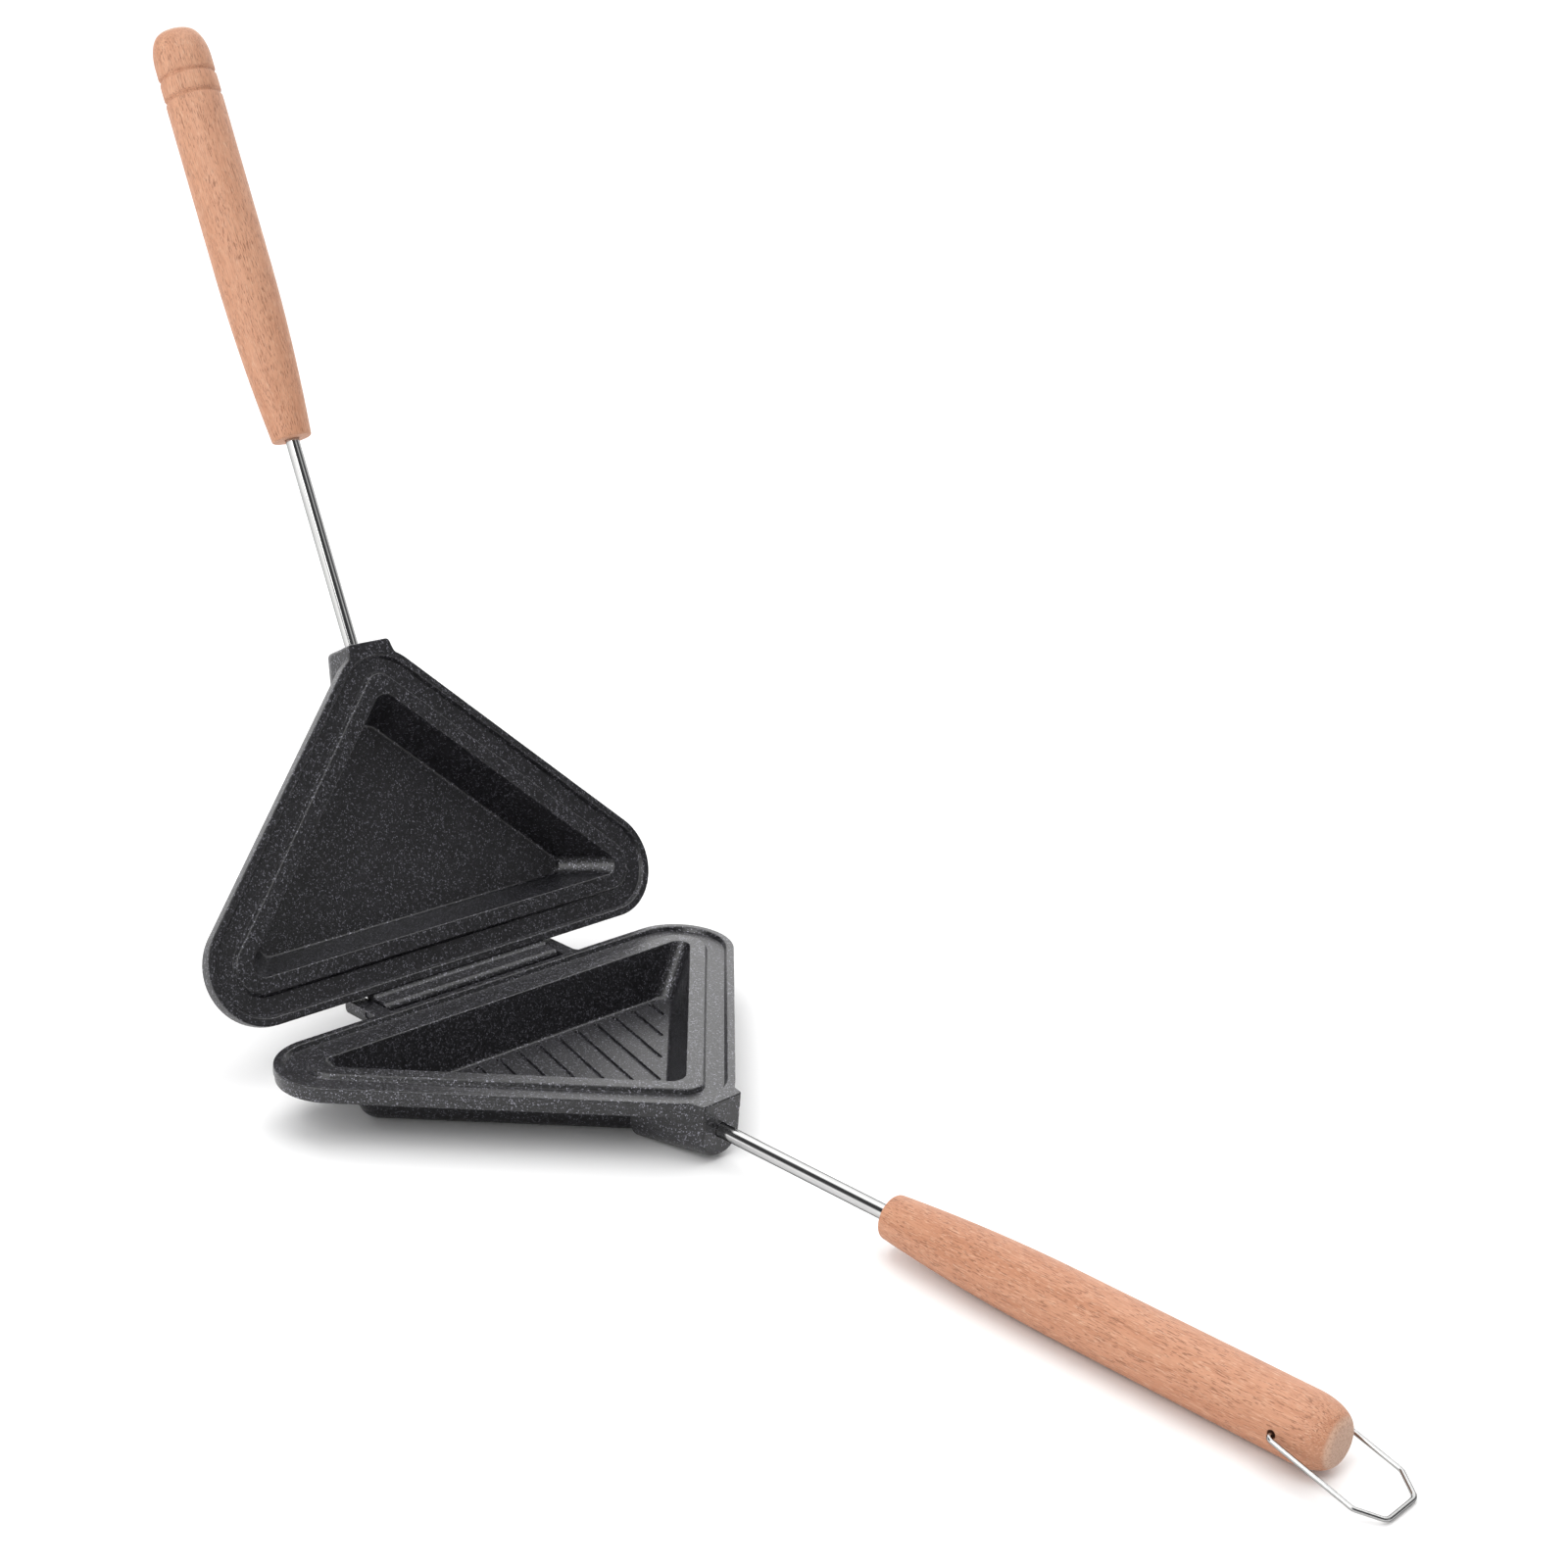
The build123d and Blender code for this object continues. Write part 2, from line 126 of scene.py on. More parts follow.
class Shader:
    """One material under construction."""

    def __init__(self, name: str) -> None:
        """Starts a material with a lone Principled shader.

        Args:
            name: the material's name.
        """
        self.material = bpy.data.materials.new(name)
        self.material.use_nodes = True
        self.tree = self.material.node_tree
        self.surface = self.tree.nodes["Principled BSDF"]

    def feed(self, socket: bpy.types.NodeSocket, value: Any) -> None:
        """Fills one input.

        Args:
            socket: the input.
            value: a signal, which is linked, or a number, a vector or a colour, which is set.
        """
        if isinstance(value, Signal):
            self.tree.links.new(value.socket, socket)
        else:
            socket.default_value = (*value, 1.0) if socket.type == "RGBA" else value

    def node(self, kind: str, values: dict[Any, Any], output: Any = 0, **settings: Any) -> Signal:
        """Adds any node.

        Args:
            kind: the node's type.
            values: what goes into its inputs, by name or number: numbers, tuples or signals.
            output: which output is returned, by name or number.
            settings: the node's own settings, set before its inputs.

        Returns:
            The chosen output.
        """
        made = self.tree.nodes.new(kind)
        for setting, value in settings.items():
            setattr(made, setting, value)
        for place, value in values.items():
            self.feed(made.inputs[place], value)
        return Signal(self, made.outputs[output])

    def place(self, turn: float = 0.0, shift: Triple | Vector = (0, 0, 0)) -> Signal:
        """Object coordinates.

        Args:
            turn: rotation about Y in radians.
            shift: added after the turn, in metres.

        Returns:
            The vector.
        """
        here = self.node("ShaderNodeTexCoord", {}, output="Object")
        move = {"Vector": here, "Rotation": (0, turn, 0), "Location": tuple(shift)}
        return self.node("ShaderNodeMapping", move)

    def part(self, vector: Signal, axis: int) -> Signal:
        """One of a vector's three numbers."""
        return self.node("ShaderNodeSeparateXYZ", {0: vector}, output=axis)

    def noise(self, vector: Signal, scale: float, detail: float) -> Signal:
        """Cloudy noise between 0 and 1."""
        return self.node("ShaderNodeTexNoise", {"Vector": vector, "Scale": scale, "Detail": detail})

    def streaks(self, vector: Signal, along: float, scale: float, detail: float) -> Signal:
        """Noise that is drawn out along X, the longer the smaller along is."""
        drawn = self.node("ShaderNodeMapping", {"Vector": vector, "Scale": (along, 1.0, 1.0)})
        return self.noise(drawn, scale, detail)

    def grains(self, vector: Signal, scale: float) -> Signal:
        """Scattered cells, as the distance to a cell's centre."""
        return self.node("ShaderNodeTexVoronoi", {"Vector": vector, "Scale": scale}, output="Distance")

    def blend(self, mask: Signal, low: Any, high: Any) -> Signal:
        """Goes from one colour to another as the mask rises."""
        return self.node("ShaderNodeMix", {"Factor": mask, 6: low, 7: high}, output=2, data_type="RGBA")

    def relief(self, height: Signal, strength: float, depth: float) -> Signal:
        """A bump from a height, with its depth in mm."""
        bump = {"Height": height, "Strength": strength, "Distance": depth * MM}
        return self.node("ShaderNodeBump", bump, output="Normal")

    def finish(self, **sockets: Any) -> bpy.types.Material:
        """Sets the surface's own sockets.

        Args:
            sockets: a value or a signal for each, by its name with underscores for spaces.

        Returns:
            The finished material.
        """
        for name, value in sockets.items():
            self.feed(self.surface.inputs[name.replace("_", " ").title().replace("Ior", "IOR")], value)
        return self.material


class Tent(Shader):
    """The white tent round the pan, as the world's own nodes."""

    def __init__(self, name: str) -> None:
        """Starts the world.

        Args:
            name: the world's name.
        """
        self.world = bpy.data.worlds.new(name)
        self.world.use_nodes = True
        self.tree = self.world.node_tree

    def along(self, heading: Triple) -> Signal:
        """How nearly a direction lies along a heading.

        Args:
            heading: the heading, of any length.

        Returns:
            The signal, from -1 against it to 1 along it.
        """
        way = self.node("ShaderNodeTexCoord", {}, output="Generated")
        pair = {0: way, 1: tuple(Vector(heading).normalized())}
        return self.node("ShaderNodeVectorMath", pair, output="Value", operation="DOT_PRODUCT")

    def fill(self, colour: Signal, strength: float) -> None:
        """Gives the tent its brightness and hangs it round the scene.

        Args:
            colour: its colour in each direction.
            strength: what the colour is multiplied by.
        """
        back = self.tree.nodes["Background"]
        self.feed(back.inputs["Color"], colour)
        self.feed(back.inputs["Strength"], strength)
        bpy.context.scene.world = self.world


@dataclass(frozen=True)
class SpeckledCoating:
    """Dark satin non-stick coating with fine pale flakes in it."""

    ground: Colour = (0.0042, 0.0041, 0.0050)
    cloud: Colour = (0.0064, 0.0062, 0.0075)
    speck: Colour = (0.265, 0.262, 0.300)
    pit: Colour = (0.002, 0.002, 0.002)
    roughness: float = 0.25
    gloss: float = 0.52
    flake_metal: float = 0.95
    bump: float = 0.46
    bump_depth: float = 0.10

    def material(self, name: str, turn: float) -> bpy.types.Material:
        """Makes the material.

        Args:
            name: the material's name.
            turn: rotation about Y that takes the die back to its shut place.

        Returns:
            The material.
        """
        s = Shader(name)
        here = s.place(turn)
        broad = s.noise(here, 55, 3).ramp(0.35, 0.65)
        grit = s.noise(here, 1500, 2)
        fine = s.noise(here, 2000, 1).ramp(0.58, 0.70)
        scatter = s.noise(here, 260, 2).ramp(0.20, 0.55)
        big = s.grains(here, 1500).ramp(0.46, 0.26) * s.noise(here, 850, 1).ramp(0.50, 0.58)
        pits = s.noise(here, 1100, 1).ramp(0.42, 0.32)
        base = s.blend(broad, self.ground, self.cloud)
        base = s.blend(pits * 0.7, base, self.pit)
        shine = (fine * scatter * 0.46 + big * 0.85).maths("MINIMUM", 1.0)
        base = s.blend(shine, base, self.speck)
        rough = self.roughness + grit * 0.10 - fine * 0.08
        height = grit * 0.5 + fine * 0.6 + big * 0.7 - pits * 0.5
        return s.finish(base_color=base, metallic=shine * self.flake_metal, roughness=rough,
                        normal=s.relief(height, self.bump, self.bump_depth), specular_ior_level=self.gloss)


@dataclass(frozen=True)
class Line:
    """Where a handle's piece starts, in metres, and how far it is turned up about Y."""

    start: Vector
    turn: float

    def matrix(self) -> Matrix:
        """The move that takes a piece drawn along X to its place."""
        return Matrix.Translation(self.start) @ Matrix.Rotation(-self.turn, 4, "Y")


@dataclass(frozen=True)
class TurnedBeech:
    """Smooth turned beech with short dark pores along its grain, pale strokes that are partly its rays and
    partly painted glints, and paler end grain at its far end.
    """

    pale: Colour = (0.550, 0.272, 0.162)
    warm: Colour = (0.445, 0.192, 0.102)
    fleck: Colour = (0.200, 0.075, 0.036)
    # Tone of the pale strokes: partly the beech's rays, partly painted glint.
    ray_glint: Colour = (0.640, 0.400, 0.270)
    end_grain: Colour = (0.590, 0.390, 0.285)
    end_from: float = 1.8
    end_full: float = 0.6
    ring_rate: float = 1250
    gloss: float = 0.50
    bump: float = 0.35
    bump_depth: float = 0.12

    def material(self, name: str, line: Line, length: float, seed: float) -> bpy.types.Material:
        """Makes the material.

        Args:
            name: the material's name.
            line: where the grip lies.
            length: the grip's length.
            seed: moves the pattern, so that no two grips look the same.

        Returns:
            The material.
        """
        s = Shader(name)
        here = s.place(line.turn, -(Matrix.Rotation(line.turn, 3, "Y") @ line.start))
        moved = {0: here, 1: (seed, seed * 0.37, seed * 0.11)}
        wood = s.node("ShaderNodeVectorMath", moved, operation="ADD")
        broad = s.streaks(wood, 0.10, 150, 3)
        waver = s.streaks(wood, 0.25, 60, 2)
        depth = s.part(wood, 1) * 0.35 + s.part(wood, 2)
        rings = (depth * self.ring_rate + waver * 7.0).maths("SINE") * 0.5 + 0.5
        tone = broad.ramp(0.34, 0.68) * 0.62 + rings * 0.38
        fibre = s.streaks(wood, 0.06, 2400, 2)
        patchy = s.streaks(wood, 0.35, 190, 1).ramp(0.15, 0.55)
        pores = s.streaks(wood, 0.12, 3200, 1).ramp(0.56, 0.65) * patchy
        # Pale strokes along the grain, partly the beech's rays and partly painted glints: highlight painted
        # into the colour.
        ray_glints = s.streaks(wood, 0.12, 2900, 1).ramp(0.56, 0.70)
        ends = s.part(here, 0).ramp((length - self.end_from) * MM, (length - self.end_full) * MM)
        colour = s.blend(tone, self.pale, self.warm)
        colour = s.blend(fibre.ramp(0.42, 0.72) * 0.24, colour, self.fleck)
        colour = s.blend(ray_glints * 0.50, colour, self.ray_glint)
        colour = s.blend(pores * 0.68, colour, self.fleck)
        grainy = s.blend(s.noise(wood, 1700, 2).ramp(0.44, 0.66) * 0.45, self.end_grain, self.fleck)
        colour = s.blend(ends * 0.85, colour, grainy)
        height = fibre * 0.5 - pores * 0.9
        rough = 0.52 + fibre * 0.14 - ray_glints * 0.06
        return s.finish(base_color=colour, roughness=rough, specular_ior_level=self.gloss,
                        normal=s.relief(height, self.bump, self.bump_depth))


@dataclass(frozen=True)
class DrawnSteel:
    """Bright drawn steel with faint lines along its length and dark rims."""

    bright: Colour = (0.57, 0.57, 0.565)
    dull: Colour = (0.43, 0.43, 0.43)
    roughness: float = 0.10
    edge: Colour = (0.0, 0.0, 0.0)
    bump: float = 0.06
    bump_depth: float = 0.04

    def material(self, name: str, turn: float = 0.0, stretch: float = 0.02) -> bpy.types.Material:
        """Makes the material.

        Args:
            name: the material's name.
            turn: rotation about Y that lays the rod's length along X.
            stretch: how drawn out the lines are, below 1 for longer.

        Returns:
            The material.
        """
        s = Shader(name)
        here = s.place(turn)
        lines = s.streaks(here, stretch, 3600, 2)
        cloud = s.noise(here, 160, 2)
        colour = s.blend(lines.ramp(0.35, 0.75) * 0.6 + cloud * 0.2, self.bright, self.dull)
        rough = self.roughness + lines * 0.07 + cloud.ramp(0.5, 0.8) * 0.04
        return s.finish(base_color=colour, metallic=1.0, roughness=rough, specular_tint=self.edge,
                        normal=s.relief(lines, self.bump, self.bump_depth))


class Bench:
    """The few steps of hand modelling that every piece shares."""

    @staticmethod
    def clear() -> None:
        """Leaves nothing selected."""
        if bpy.context.mode != "OBJECT":
            bpy.ops.object.mode_set(mode="OBJECT")
        bpy.ops.object.select_all(action="DESELECT")

    @staticmethod
    def hold(piece: bpy.types.Object) -> None:
        """Selects one piece alone and makes it active.

        Args:
            piece: the piece.
        """
        Bench.clear()
        piece.select_set(True)
        bpy.context.view_layer.objects.active = piece

    @staticmethod
    def edit(piece: bpy.types.Object) -> None:
        """Opens one piece in edit mode with all of it selected.

        Args:
            piece: the piece.
        """
        Bench.hold(piece)
        bpy.ops.object.mode_set(mode="EDIT")
        bpy.ops.mesh.select_all(action="SELECT")

    @staticmethod
    def disc(name: str, sides: int, radius: float, height: float) -> bpy.types.Object:
        """Adds a flat disc and opens it in edit mode.

        Args:
            name: the piece's name.
            sides: how many points it has.
            radius: its radius in metres.
            height: its height in metres.

        Returns:
            The disc, with its one face selected.
        """
        Bench.clear()
        bpy.ops.mesh.primitive_circle_add(vertices=sides, radius=radius, fill_type="NGON",
                                          location=(0, 0, height))
        piece = bpy.context.object
        piece.name = piece.data.name = name
        bpy.ops.object.transform_apply(location=True, rotation=True, scale=True)
        Bench.edit(piece)
        return piece

    @staticmethod
    def apply(piece: bpy.types.Object, kind: str, **settings: Any) -> None:
        """Adds a modifier and applies it.

        Args:
            piece: the piece that gets it.
            kind: the modifier's type.
            settings: the modifier's settings.
        """
        Bench.hold(piece)
        step = piece.modifiers.new(kind.title(), kind)
        for name, value in settings.items():
            setattr(step, name, value)
        bpy.ops.object.modifier_apply(modifier=step.name)

    @staticmethod
    def cut(piece: bpy.types.Object, tool: bpy.types.Object, operation: str = "DIFFERENCE") -> None:
        """Cuts a second solid away, or joins it on by a union, and clears it off the bench."""
        Bench.apply(piece, "BOOLEAN", operation=operation, object=tool, solver="EXACT")
        bpy.data.objects.remove(tool)

    @staticmethod
    def settle(piece: bpy.types.Object, where: Matrix) -> None:
        """Puts a piece in its place and writes the place into its mesh.

        Args:
            piece: the piece.
            where: the move to its place.
        """
        Bench.hold(piece)
        piece.matrix_world = where
        bpy.ops.object.transform_apply(location=True, rotation=True, scale=True)

    @staticmethod
    def close(piece: bpy.types.Object, angle: float = SHADE_ANGLE) -> None:
        """Merges doubles, turns every face outwards and shades by angle.

        Args:
            piece: the piece.
            angle: the bend in degrees from which an edge looks sharp.
        """
        Bench.edit(piece)
        bpy.ops.mesh.remove_doubles(threshold=MERGE)
        bpy.ops.mesh.normals_make_consistent(inside=False)
        bpy.ops.object.mode_set(mode="OBJECT")
        bpy.ops.object.shade_smooth_by_angle(angle=radians(angle))

    @staticmethod
    def dress(piece: bpy.types.Object, material: bpy.types.Material, body: Body, slot: Slot,
              *nodes: str) -> None:
        """Gives a piece its finish and its place in the frame.

        Args:
            piece: the finished piece.
            material: what it is made of.
            body: the body that it rides on.
            slot: its slot in the record, which is not used.
            nodes: the solids that it stands for.
        """
        piece.data.materials.clear()
        piece.data.materials.append(material)
        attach(piece, body.value)
        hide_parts(*nodes)
        log.info("%s: %d faces on %s", piece.name, len(piece.data.polygons), body.value)


def fan(sweep: float, steps: int) -> list[float]:
    """Even steps from 0 to a sweep, both ends included."""
    return [sweep * step / steps for step in range(steps + 1)]


def quarter(steps: int) -> list[Point]:
    """A quarter round of radius 1, from (0, 1) to (1, 0), hollow towards (0, 0)."""
    return [(1 - cos(angle), 1 - sin(angle)) for angle in fan(pi / 2, steps)]


def arc(centre: Point, radius: float, start: float, end: float, steps: int) -> list[Point]:
    """Points along an arc, both ends included, with its angles in degrees."""
    turns = [radians(start + part) for part in fan(end - start, steps)]
    return [(centre[0] + radius * cos(turn), centre[1] + radius * sin(turn)) for turn in turns]


def eased_path(corners: list[tuple[float, float, float]], steps: int = 6) -> list[Point]:
    """Rounds the corners of a closed path.

    Args:
        corners: two coordinates and a radius each; a radius of 0 leaves the corner sharp.
        steps: how many short runs make each round.

    Returns:
        The path's points.
    """
    path = []
    for number, (across, up, radius) in enumerate(corners):
        here = Vector((across, up))
        if not radius:
            path.append((across, up))
            continue
        back = (Vector(corners[number - 1][:2]) - here).normalized()
        on = (Vector(corners[(number + 1) % len(corners)][:2]) - here).normalized()
        half = back.angle(on) / 2
        centre = here + (back + on).normalized() * radius / sin(half)
        first = here + back * radius / tan(half) - centre
        last = here + on * radius / tan(half) - centre
        start = atan2(first.y, first.x)
        sweep = (atan2(last.y, last.x) - start + pi) % (2 * pi) - pi
        for part in fan(sweep, steps):
            path.append((centre.x + radius * cos(start + part), centre.y + radius * sin(start + part)))
    return path


def drawn_in(path: list[Point], inset: float) -> list[Point]:
    """Moves a closed path inwards, point by point.

    Args:
        path: the path.
        inset: how far it moves.

    Returns:
        The moved points.
    """
    spots = [Vector(point) for point in path]
    area = sum(a.x * b.y - b.x * a.y for a, b in zip(spots, spots[1:] + spots[:1]))
    moved = []
    for number, here in enumerate(spots):
        first = (here - spots[number - 1]).normalized()
        last = (spots[(number + 1) % len(spots)] - here).normalized()
        middle = (first + last).normalized()
        inward = Vector((-middle.y, middle.x)) * (1 if area > 0 else -1)
        moved.append(tuple(here + inward * inset / max(first.dot(middle), 0.5)))
    return moved


@dataclass
class Turned:
    """A round piece drawn out ring by ring from a disc, as places along it and radii."""

    name: str
    rings: list[Point]
    sides: int = 72

    def build(self, where: Matrix) -> bpy.types.Object:
        """Draws out the rings along Z, lays the piece along X and moves it.

        Args:
            where: the move from along X to its place.

        Returns:
            The closed piece.
        """
        along, radius = self.rings[0]
        piece = Bench.disc(self.name, self.sides, radius * MM, along * MM)
        for next_along, next_radius in self.rings[1:]:
            step = {"value": (0, 0, (next_along - along) * MM)}
            bpy.ops.mesh.extrude_region_move(TRANSFORM_OT_translate=step)
            grow = next_radius / radius
            if grow != 1:
                bpy.ops.transform.resize(value=(grow, grow, 1), center_override=(0, 0, next_along * MM))
            along, radius = next_along, next_radius
        Bench.close(piece)
        Bench.settle(piece, where @ Matrix.Rotation(pi / 2, 4, "Y"))
        return piece


@dataclass
class Drawn:
    """A solid drawn out from one closed outline to the next, all with the same number of points."""

    name: str
    rings: list[Outline]

    def build(self) -> bpy.types.Object:
        """Draws the outlines out one after another and closes both ends.

        Returns:
            The closed piece.
        """
        piece = Bench.disc(self.name, len(self.rings[0]), 1.0, 0.0)
        self.shape(piece, self.rings[0])
        for ring in self.rings[1:]:
            bpy.ops.mesh.extrude_region_move()
            self.shape(piece, ring)
        Bench.close(piece)
        return piece

    @staticmethod
    def shape(piece: bpy.types.Object, ring: Outline) -> None:
        """Moves the selected points, in their order, to an outline.

        Args:
            piece: the piece in edit mode.
            ring: the outline in mm.
        """
        mesh = bmesh.from_edit_mesh(piece.data)
        chosen = [vertex for vertex in mesh.verts if vertex.select]
        for vertex, point in zip(chosen, ring, strict=True):
            vertex.co = point * MM
        bmesh.update_edit_mesh(piece.data)


@dataclass(frozen=True)
class Opening:
    """The pan's hinge, and where things of the shut pan go when it opens."""

    pin_x: float = -60.0478
    pin_z: float = 19.2
    angle: float = radians(117.2)

    def pin(self) -> Vector:
        """The middle of the hinge pin, in metres."""
        return Vector((self.pin_x, 0.0, self.pin_z)) * MM

    def matrix(self) -> Matrix:
        """The move from shut to open."""
        turn = Matrix.Rotation(-self.angle, 4, "Y")
        return Matrix.Translation(self.pin()) @ turn @ Matrix.Translation(-self.pin())


# Rounded edges in parts of the ease: how far in, and how far down or up, each ring lies.
TOP_EDGE = ((0.0, 1.0), (0.07, 0.62), (0.3, 0.3), (0.62, 0.07), (1.0, 0.0))
FOOT_EDGE = ((1.0, 0.0), (0.3, 0.3), (0.0, 1.0))
CHANNEL_EDGE = ((-0.80, 0.0), (-0.25, 0.10), (0.25, 0.45))
# The channel's foot: how far past its side, and how far above its floor, each ring lies.
CHANNEL_FOOT = ((-0.12, 0.34), (0.10, 0.08), (0.42, 0.0))
# The fold between the rim's two tiers: rise from it, and part of the tier's step.
TIER_FOLD = ((-0.16, 1.0), (-0.04, 0.88), (0.01, 0.36), (0.16, 0.0))
# Mouths of the bores in a die and in a grip: place along them, and how much wider they are.
DIE_MOUTH = ((-0.5, 0.0), (-0.12, 0.1), (0.05, 0.32), (2.0, 2.0))
GRIP_MOUTH = ((1.2, 0.0), (0.3, 0.1), (0.0, 0.4))
# Short runs in the rounds of a casting: its base, its small rounds, its floor and the long side's corners.
BASE_STEPS = 8
ROUND_STEPS = 4
FLOOR_STEPS = 5
CORNER_STEPS = 24
# Short runs in the socket's edge and in its blend into the rim.
EDGE_STEPS = 5
BLEND_STEPS = 6
# A plain front corner has as many points as one with the socket.
NOSE_STEPS = 2 * (2 * EDGE_STEPS + BLEND_STEPS + 2)


@dataclass
class Casting:
    """One cast die with its coating: a three-cornered shell with a rim, a channel, a land and a rod socket.

    An inset is how far an outline lies inside the rim's own.
    """

    name: str
    node: str
    body: Body
    cavity_depth: float
    finish: SpeckledCoating = SpeckledCoating()
    opening: Opening = Opening()
    inradius: float = 53.8478
    rim_z: float = 21.7
    meet_z: float = 21.8
    floor_thickness: float = 3.5
    rim_height: float = 5.6
    tier_height: float = 2.9
    tier_step: float = 0.5
    corner: float = 20.8
    lip_width: float = 2.7
    channel_run: float = 0.9
    channel_depth: float = 1.7
    land_inset: float = 11.1
    land_corner: float = 9.7
    land_nose: float = 6.3
    mouth_round: float = 0.6
    cavity_inset: float = 16.8
    cavity_run: float = 5.9
    cavity_corner: float = 4.3
    cavity_nose: float = 5.8
    wall_inset: float = 15.4
    wall_run: float = 5.2
    wall_corner: float = 7.4
    base_round: float = 6.0
    floor_round: float = 1.3
    root_round: float = 1.1
    root_tighten: float = 0.5
    floor_tighten: float = 0.8
    channel_ease: float = 0.08
    ease: float = 0.42
    socket_x: float = 70.1366
    socket_half: float = 9.1
    socket_slope: float = 0.210714
    socket_length: float = 28.0
    socket_edge: float = 1.6
    socket_blend: float = 2.6
    socket_belly: float = 8.4
    socket_cover: float = 0.03
    socket_stations: tuple[float, ...] = (0.0, 9.0, 18.0)
    socket_sink: float = 2.0
    socket_front_rise: float = 0.5
    socket_front_tighten: float = 0.8
    socket_least_edge: float = 0.4
    socket_clearance: float = 1.2
    rod_z: float = 10.8
    bore: float = 2.52
    bore_depth: float = 19.0
    hinge_reach: float = 60.0
    shade_angle: float = 42.0

    @property
    def floor_z(self) -> float:
        """Height of the cavity's floor."""
        return self.rim_z - self.cavity_depth

    @property
    def base_z(self) -> float:
        """Height of the flat base."""
        return self.floor_z - self.floor_thickness

    @property
    def wall_z(self) -> float:
        """Height of the rim's underside."""
        return self.rim_z - self.rim_height

    @property
    def hinge_x(self) -> float:
        """Where the long side's edge runs."""
        return -self.inradius

    def long_side(self, inset: float, corner: float) -> list[Point]:
        """Both rounded corners of the long side, as half of an outline.

        Args:
            inset: how far the outline lies inside the rim.
            corner: the corners' radius.

        Returns:
            The points, from the far corner to the near one.
        """
        left = self.inradius - inset - corner
        side = left * (1 + sqrt(2))
        far = arc((-left, side), corner, 45, 180, CORNER_STEPS)
        return far + arc((-left, -side), corner, 180, 315, CORNER_STEPS)

    def plain(self, height: float, inset: float, corner: float, nose: float) -> Outline:
        """The rounded triangle at a height, with the radii of its long side's corners and its nose."""
        front = arc(((self.inradius - inset - nose) * sqrt(2), 0), nose, -45, 45, NOSE_STEPS)
        return [Vector((x, y, height)) for x, y in front + self.long_side(inset, corner)]

    def joined(self, height: float, inset: float, socket_inset: float) -> Outline:
        """The rounded triangle with the socket grown out of its front corner.

        Args:
            height: its height.
            inset: how far it lies inside the rim.
            socket_inset: how far it lies inside the socket's own outline.

        Returns:
            The outline, with as many points as a plain one.
        """
        radius = self.corner - inset
        middle = (self.inradius - self.corner) * sqrt(2)
        lean = sqrt(1 + self.socket_slope ** 2)
        level = self.socket_half + self.socket_slope * self.socket_x - socket_inset * lean
        square = degrees(atan2(1, self.socket_slope))
        edge = max(self.socket_edge - socket_inset, self.socket_least_edge)
        front = self.socket_x - socket_inset
        edge_y = level - self.socket_slope * (front - edge) - edge * lean
        blend = self.socket_blend + min(inset, socket_inset)
        raised = level + blend * lean
        half = (middle + self.socket_slope * raised) / lean ** 2
        rest = (middle ** 2 + raised ** 2 - (radius + blend) ** 2) / lean ** 2
        blend_x = half + sqrt(half ** 2 - rest)
        blend_y = raised - self.socket_slope * blend_x
        touch = degrees(atan2(blend_y, blend_x - middle))
        side = arc((front - edge, edge_y), edge, 0, square, EDGE_STEPS)
        side += arc((blend_x, blend_y), blend, square + 180, touch + 180, BLEND_STEPS)
        side += arc((middle, 0), radius, touch, 45, EDGE_STEPS)[1:]
        nose = [(x, -y) for x, y in reversed(side)] + [(front, 0.0)] + side
        return [Vector((x, y, height)) for x, y in nose + self.long_side(inset, radius)]

    def outer_rings(self) -> list[Outline]:
        """The outside, from the base's flat up the wall and round the rim to the lip.

        Returns:
            The outlines in order.
        """
        height = self.wall_z - self.base_z
        slope = atan2(self.wall_run, height)
        bend = pi / 2 - slope
        start_inset = self.wall_inset + self.wall_run * (1 - self.base_round * (1 - sin(slope)) / height)
        rings = []
        for angle in fan(bend, BASE_STEPS):
            inward = self.base_round * (cos(slope) - sin(angle))
            corner = self.wall_corner - inward
            rise = self.base_round * (1 - cos(angle))
            rings.append(self.plain(self.base_z + rise, start_inset + inward, corner, corner))
        root_run = self.root_round * tan(bend / 2)
        for angle in fan(bend, ROUND_STEPS):
            inset = self.wall_inset - root_run + self.root_round * cos(slope + angle)
            corner = self.wall_corner + (self.wall_inset - inset) * self.root_tighten
            drop = self.root_round * (1 - sin(slope + angle))
            rings.append(self.plain(self.wall_z - drop, inset, corner, corner))
        e, tier = self.ease, self.tier_step
        tier_z = self.rim_z - self.tier_height
        rings += [self.joined(self.wall_z + e * up, tier + e * inset, e * inset) for inset, up in FOOT_EDGE]
        rings += [self.joined(tier_z + rise, tier * part, 0.0) for rise, part in TIER_FOLD]
        rings += [self.joined(self.rim_z - e * down, e * inset, e * inset) for inset, down in TOP_EDGE]
        return rings

    def channel_side(self) -> list[Point]:
        """One side of the channel, from its eased edge down to its rounded foot.

        Returns:
            How far each ring lies from the edge, and its height.
        """
        e, run, top = self.ease, self.channel_run, self.rim_z
        foot = top - self.channel_depth
        rings = [(e * away, top - e * down) for away, down in CHANNEL_EDGE]
        rings.append((e * run / self.channel_depth + self.channel_ease, top - e))
        return rings + [(run + past, foot + up) for past, up in CHANNEL_FOOT]

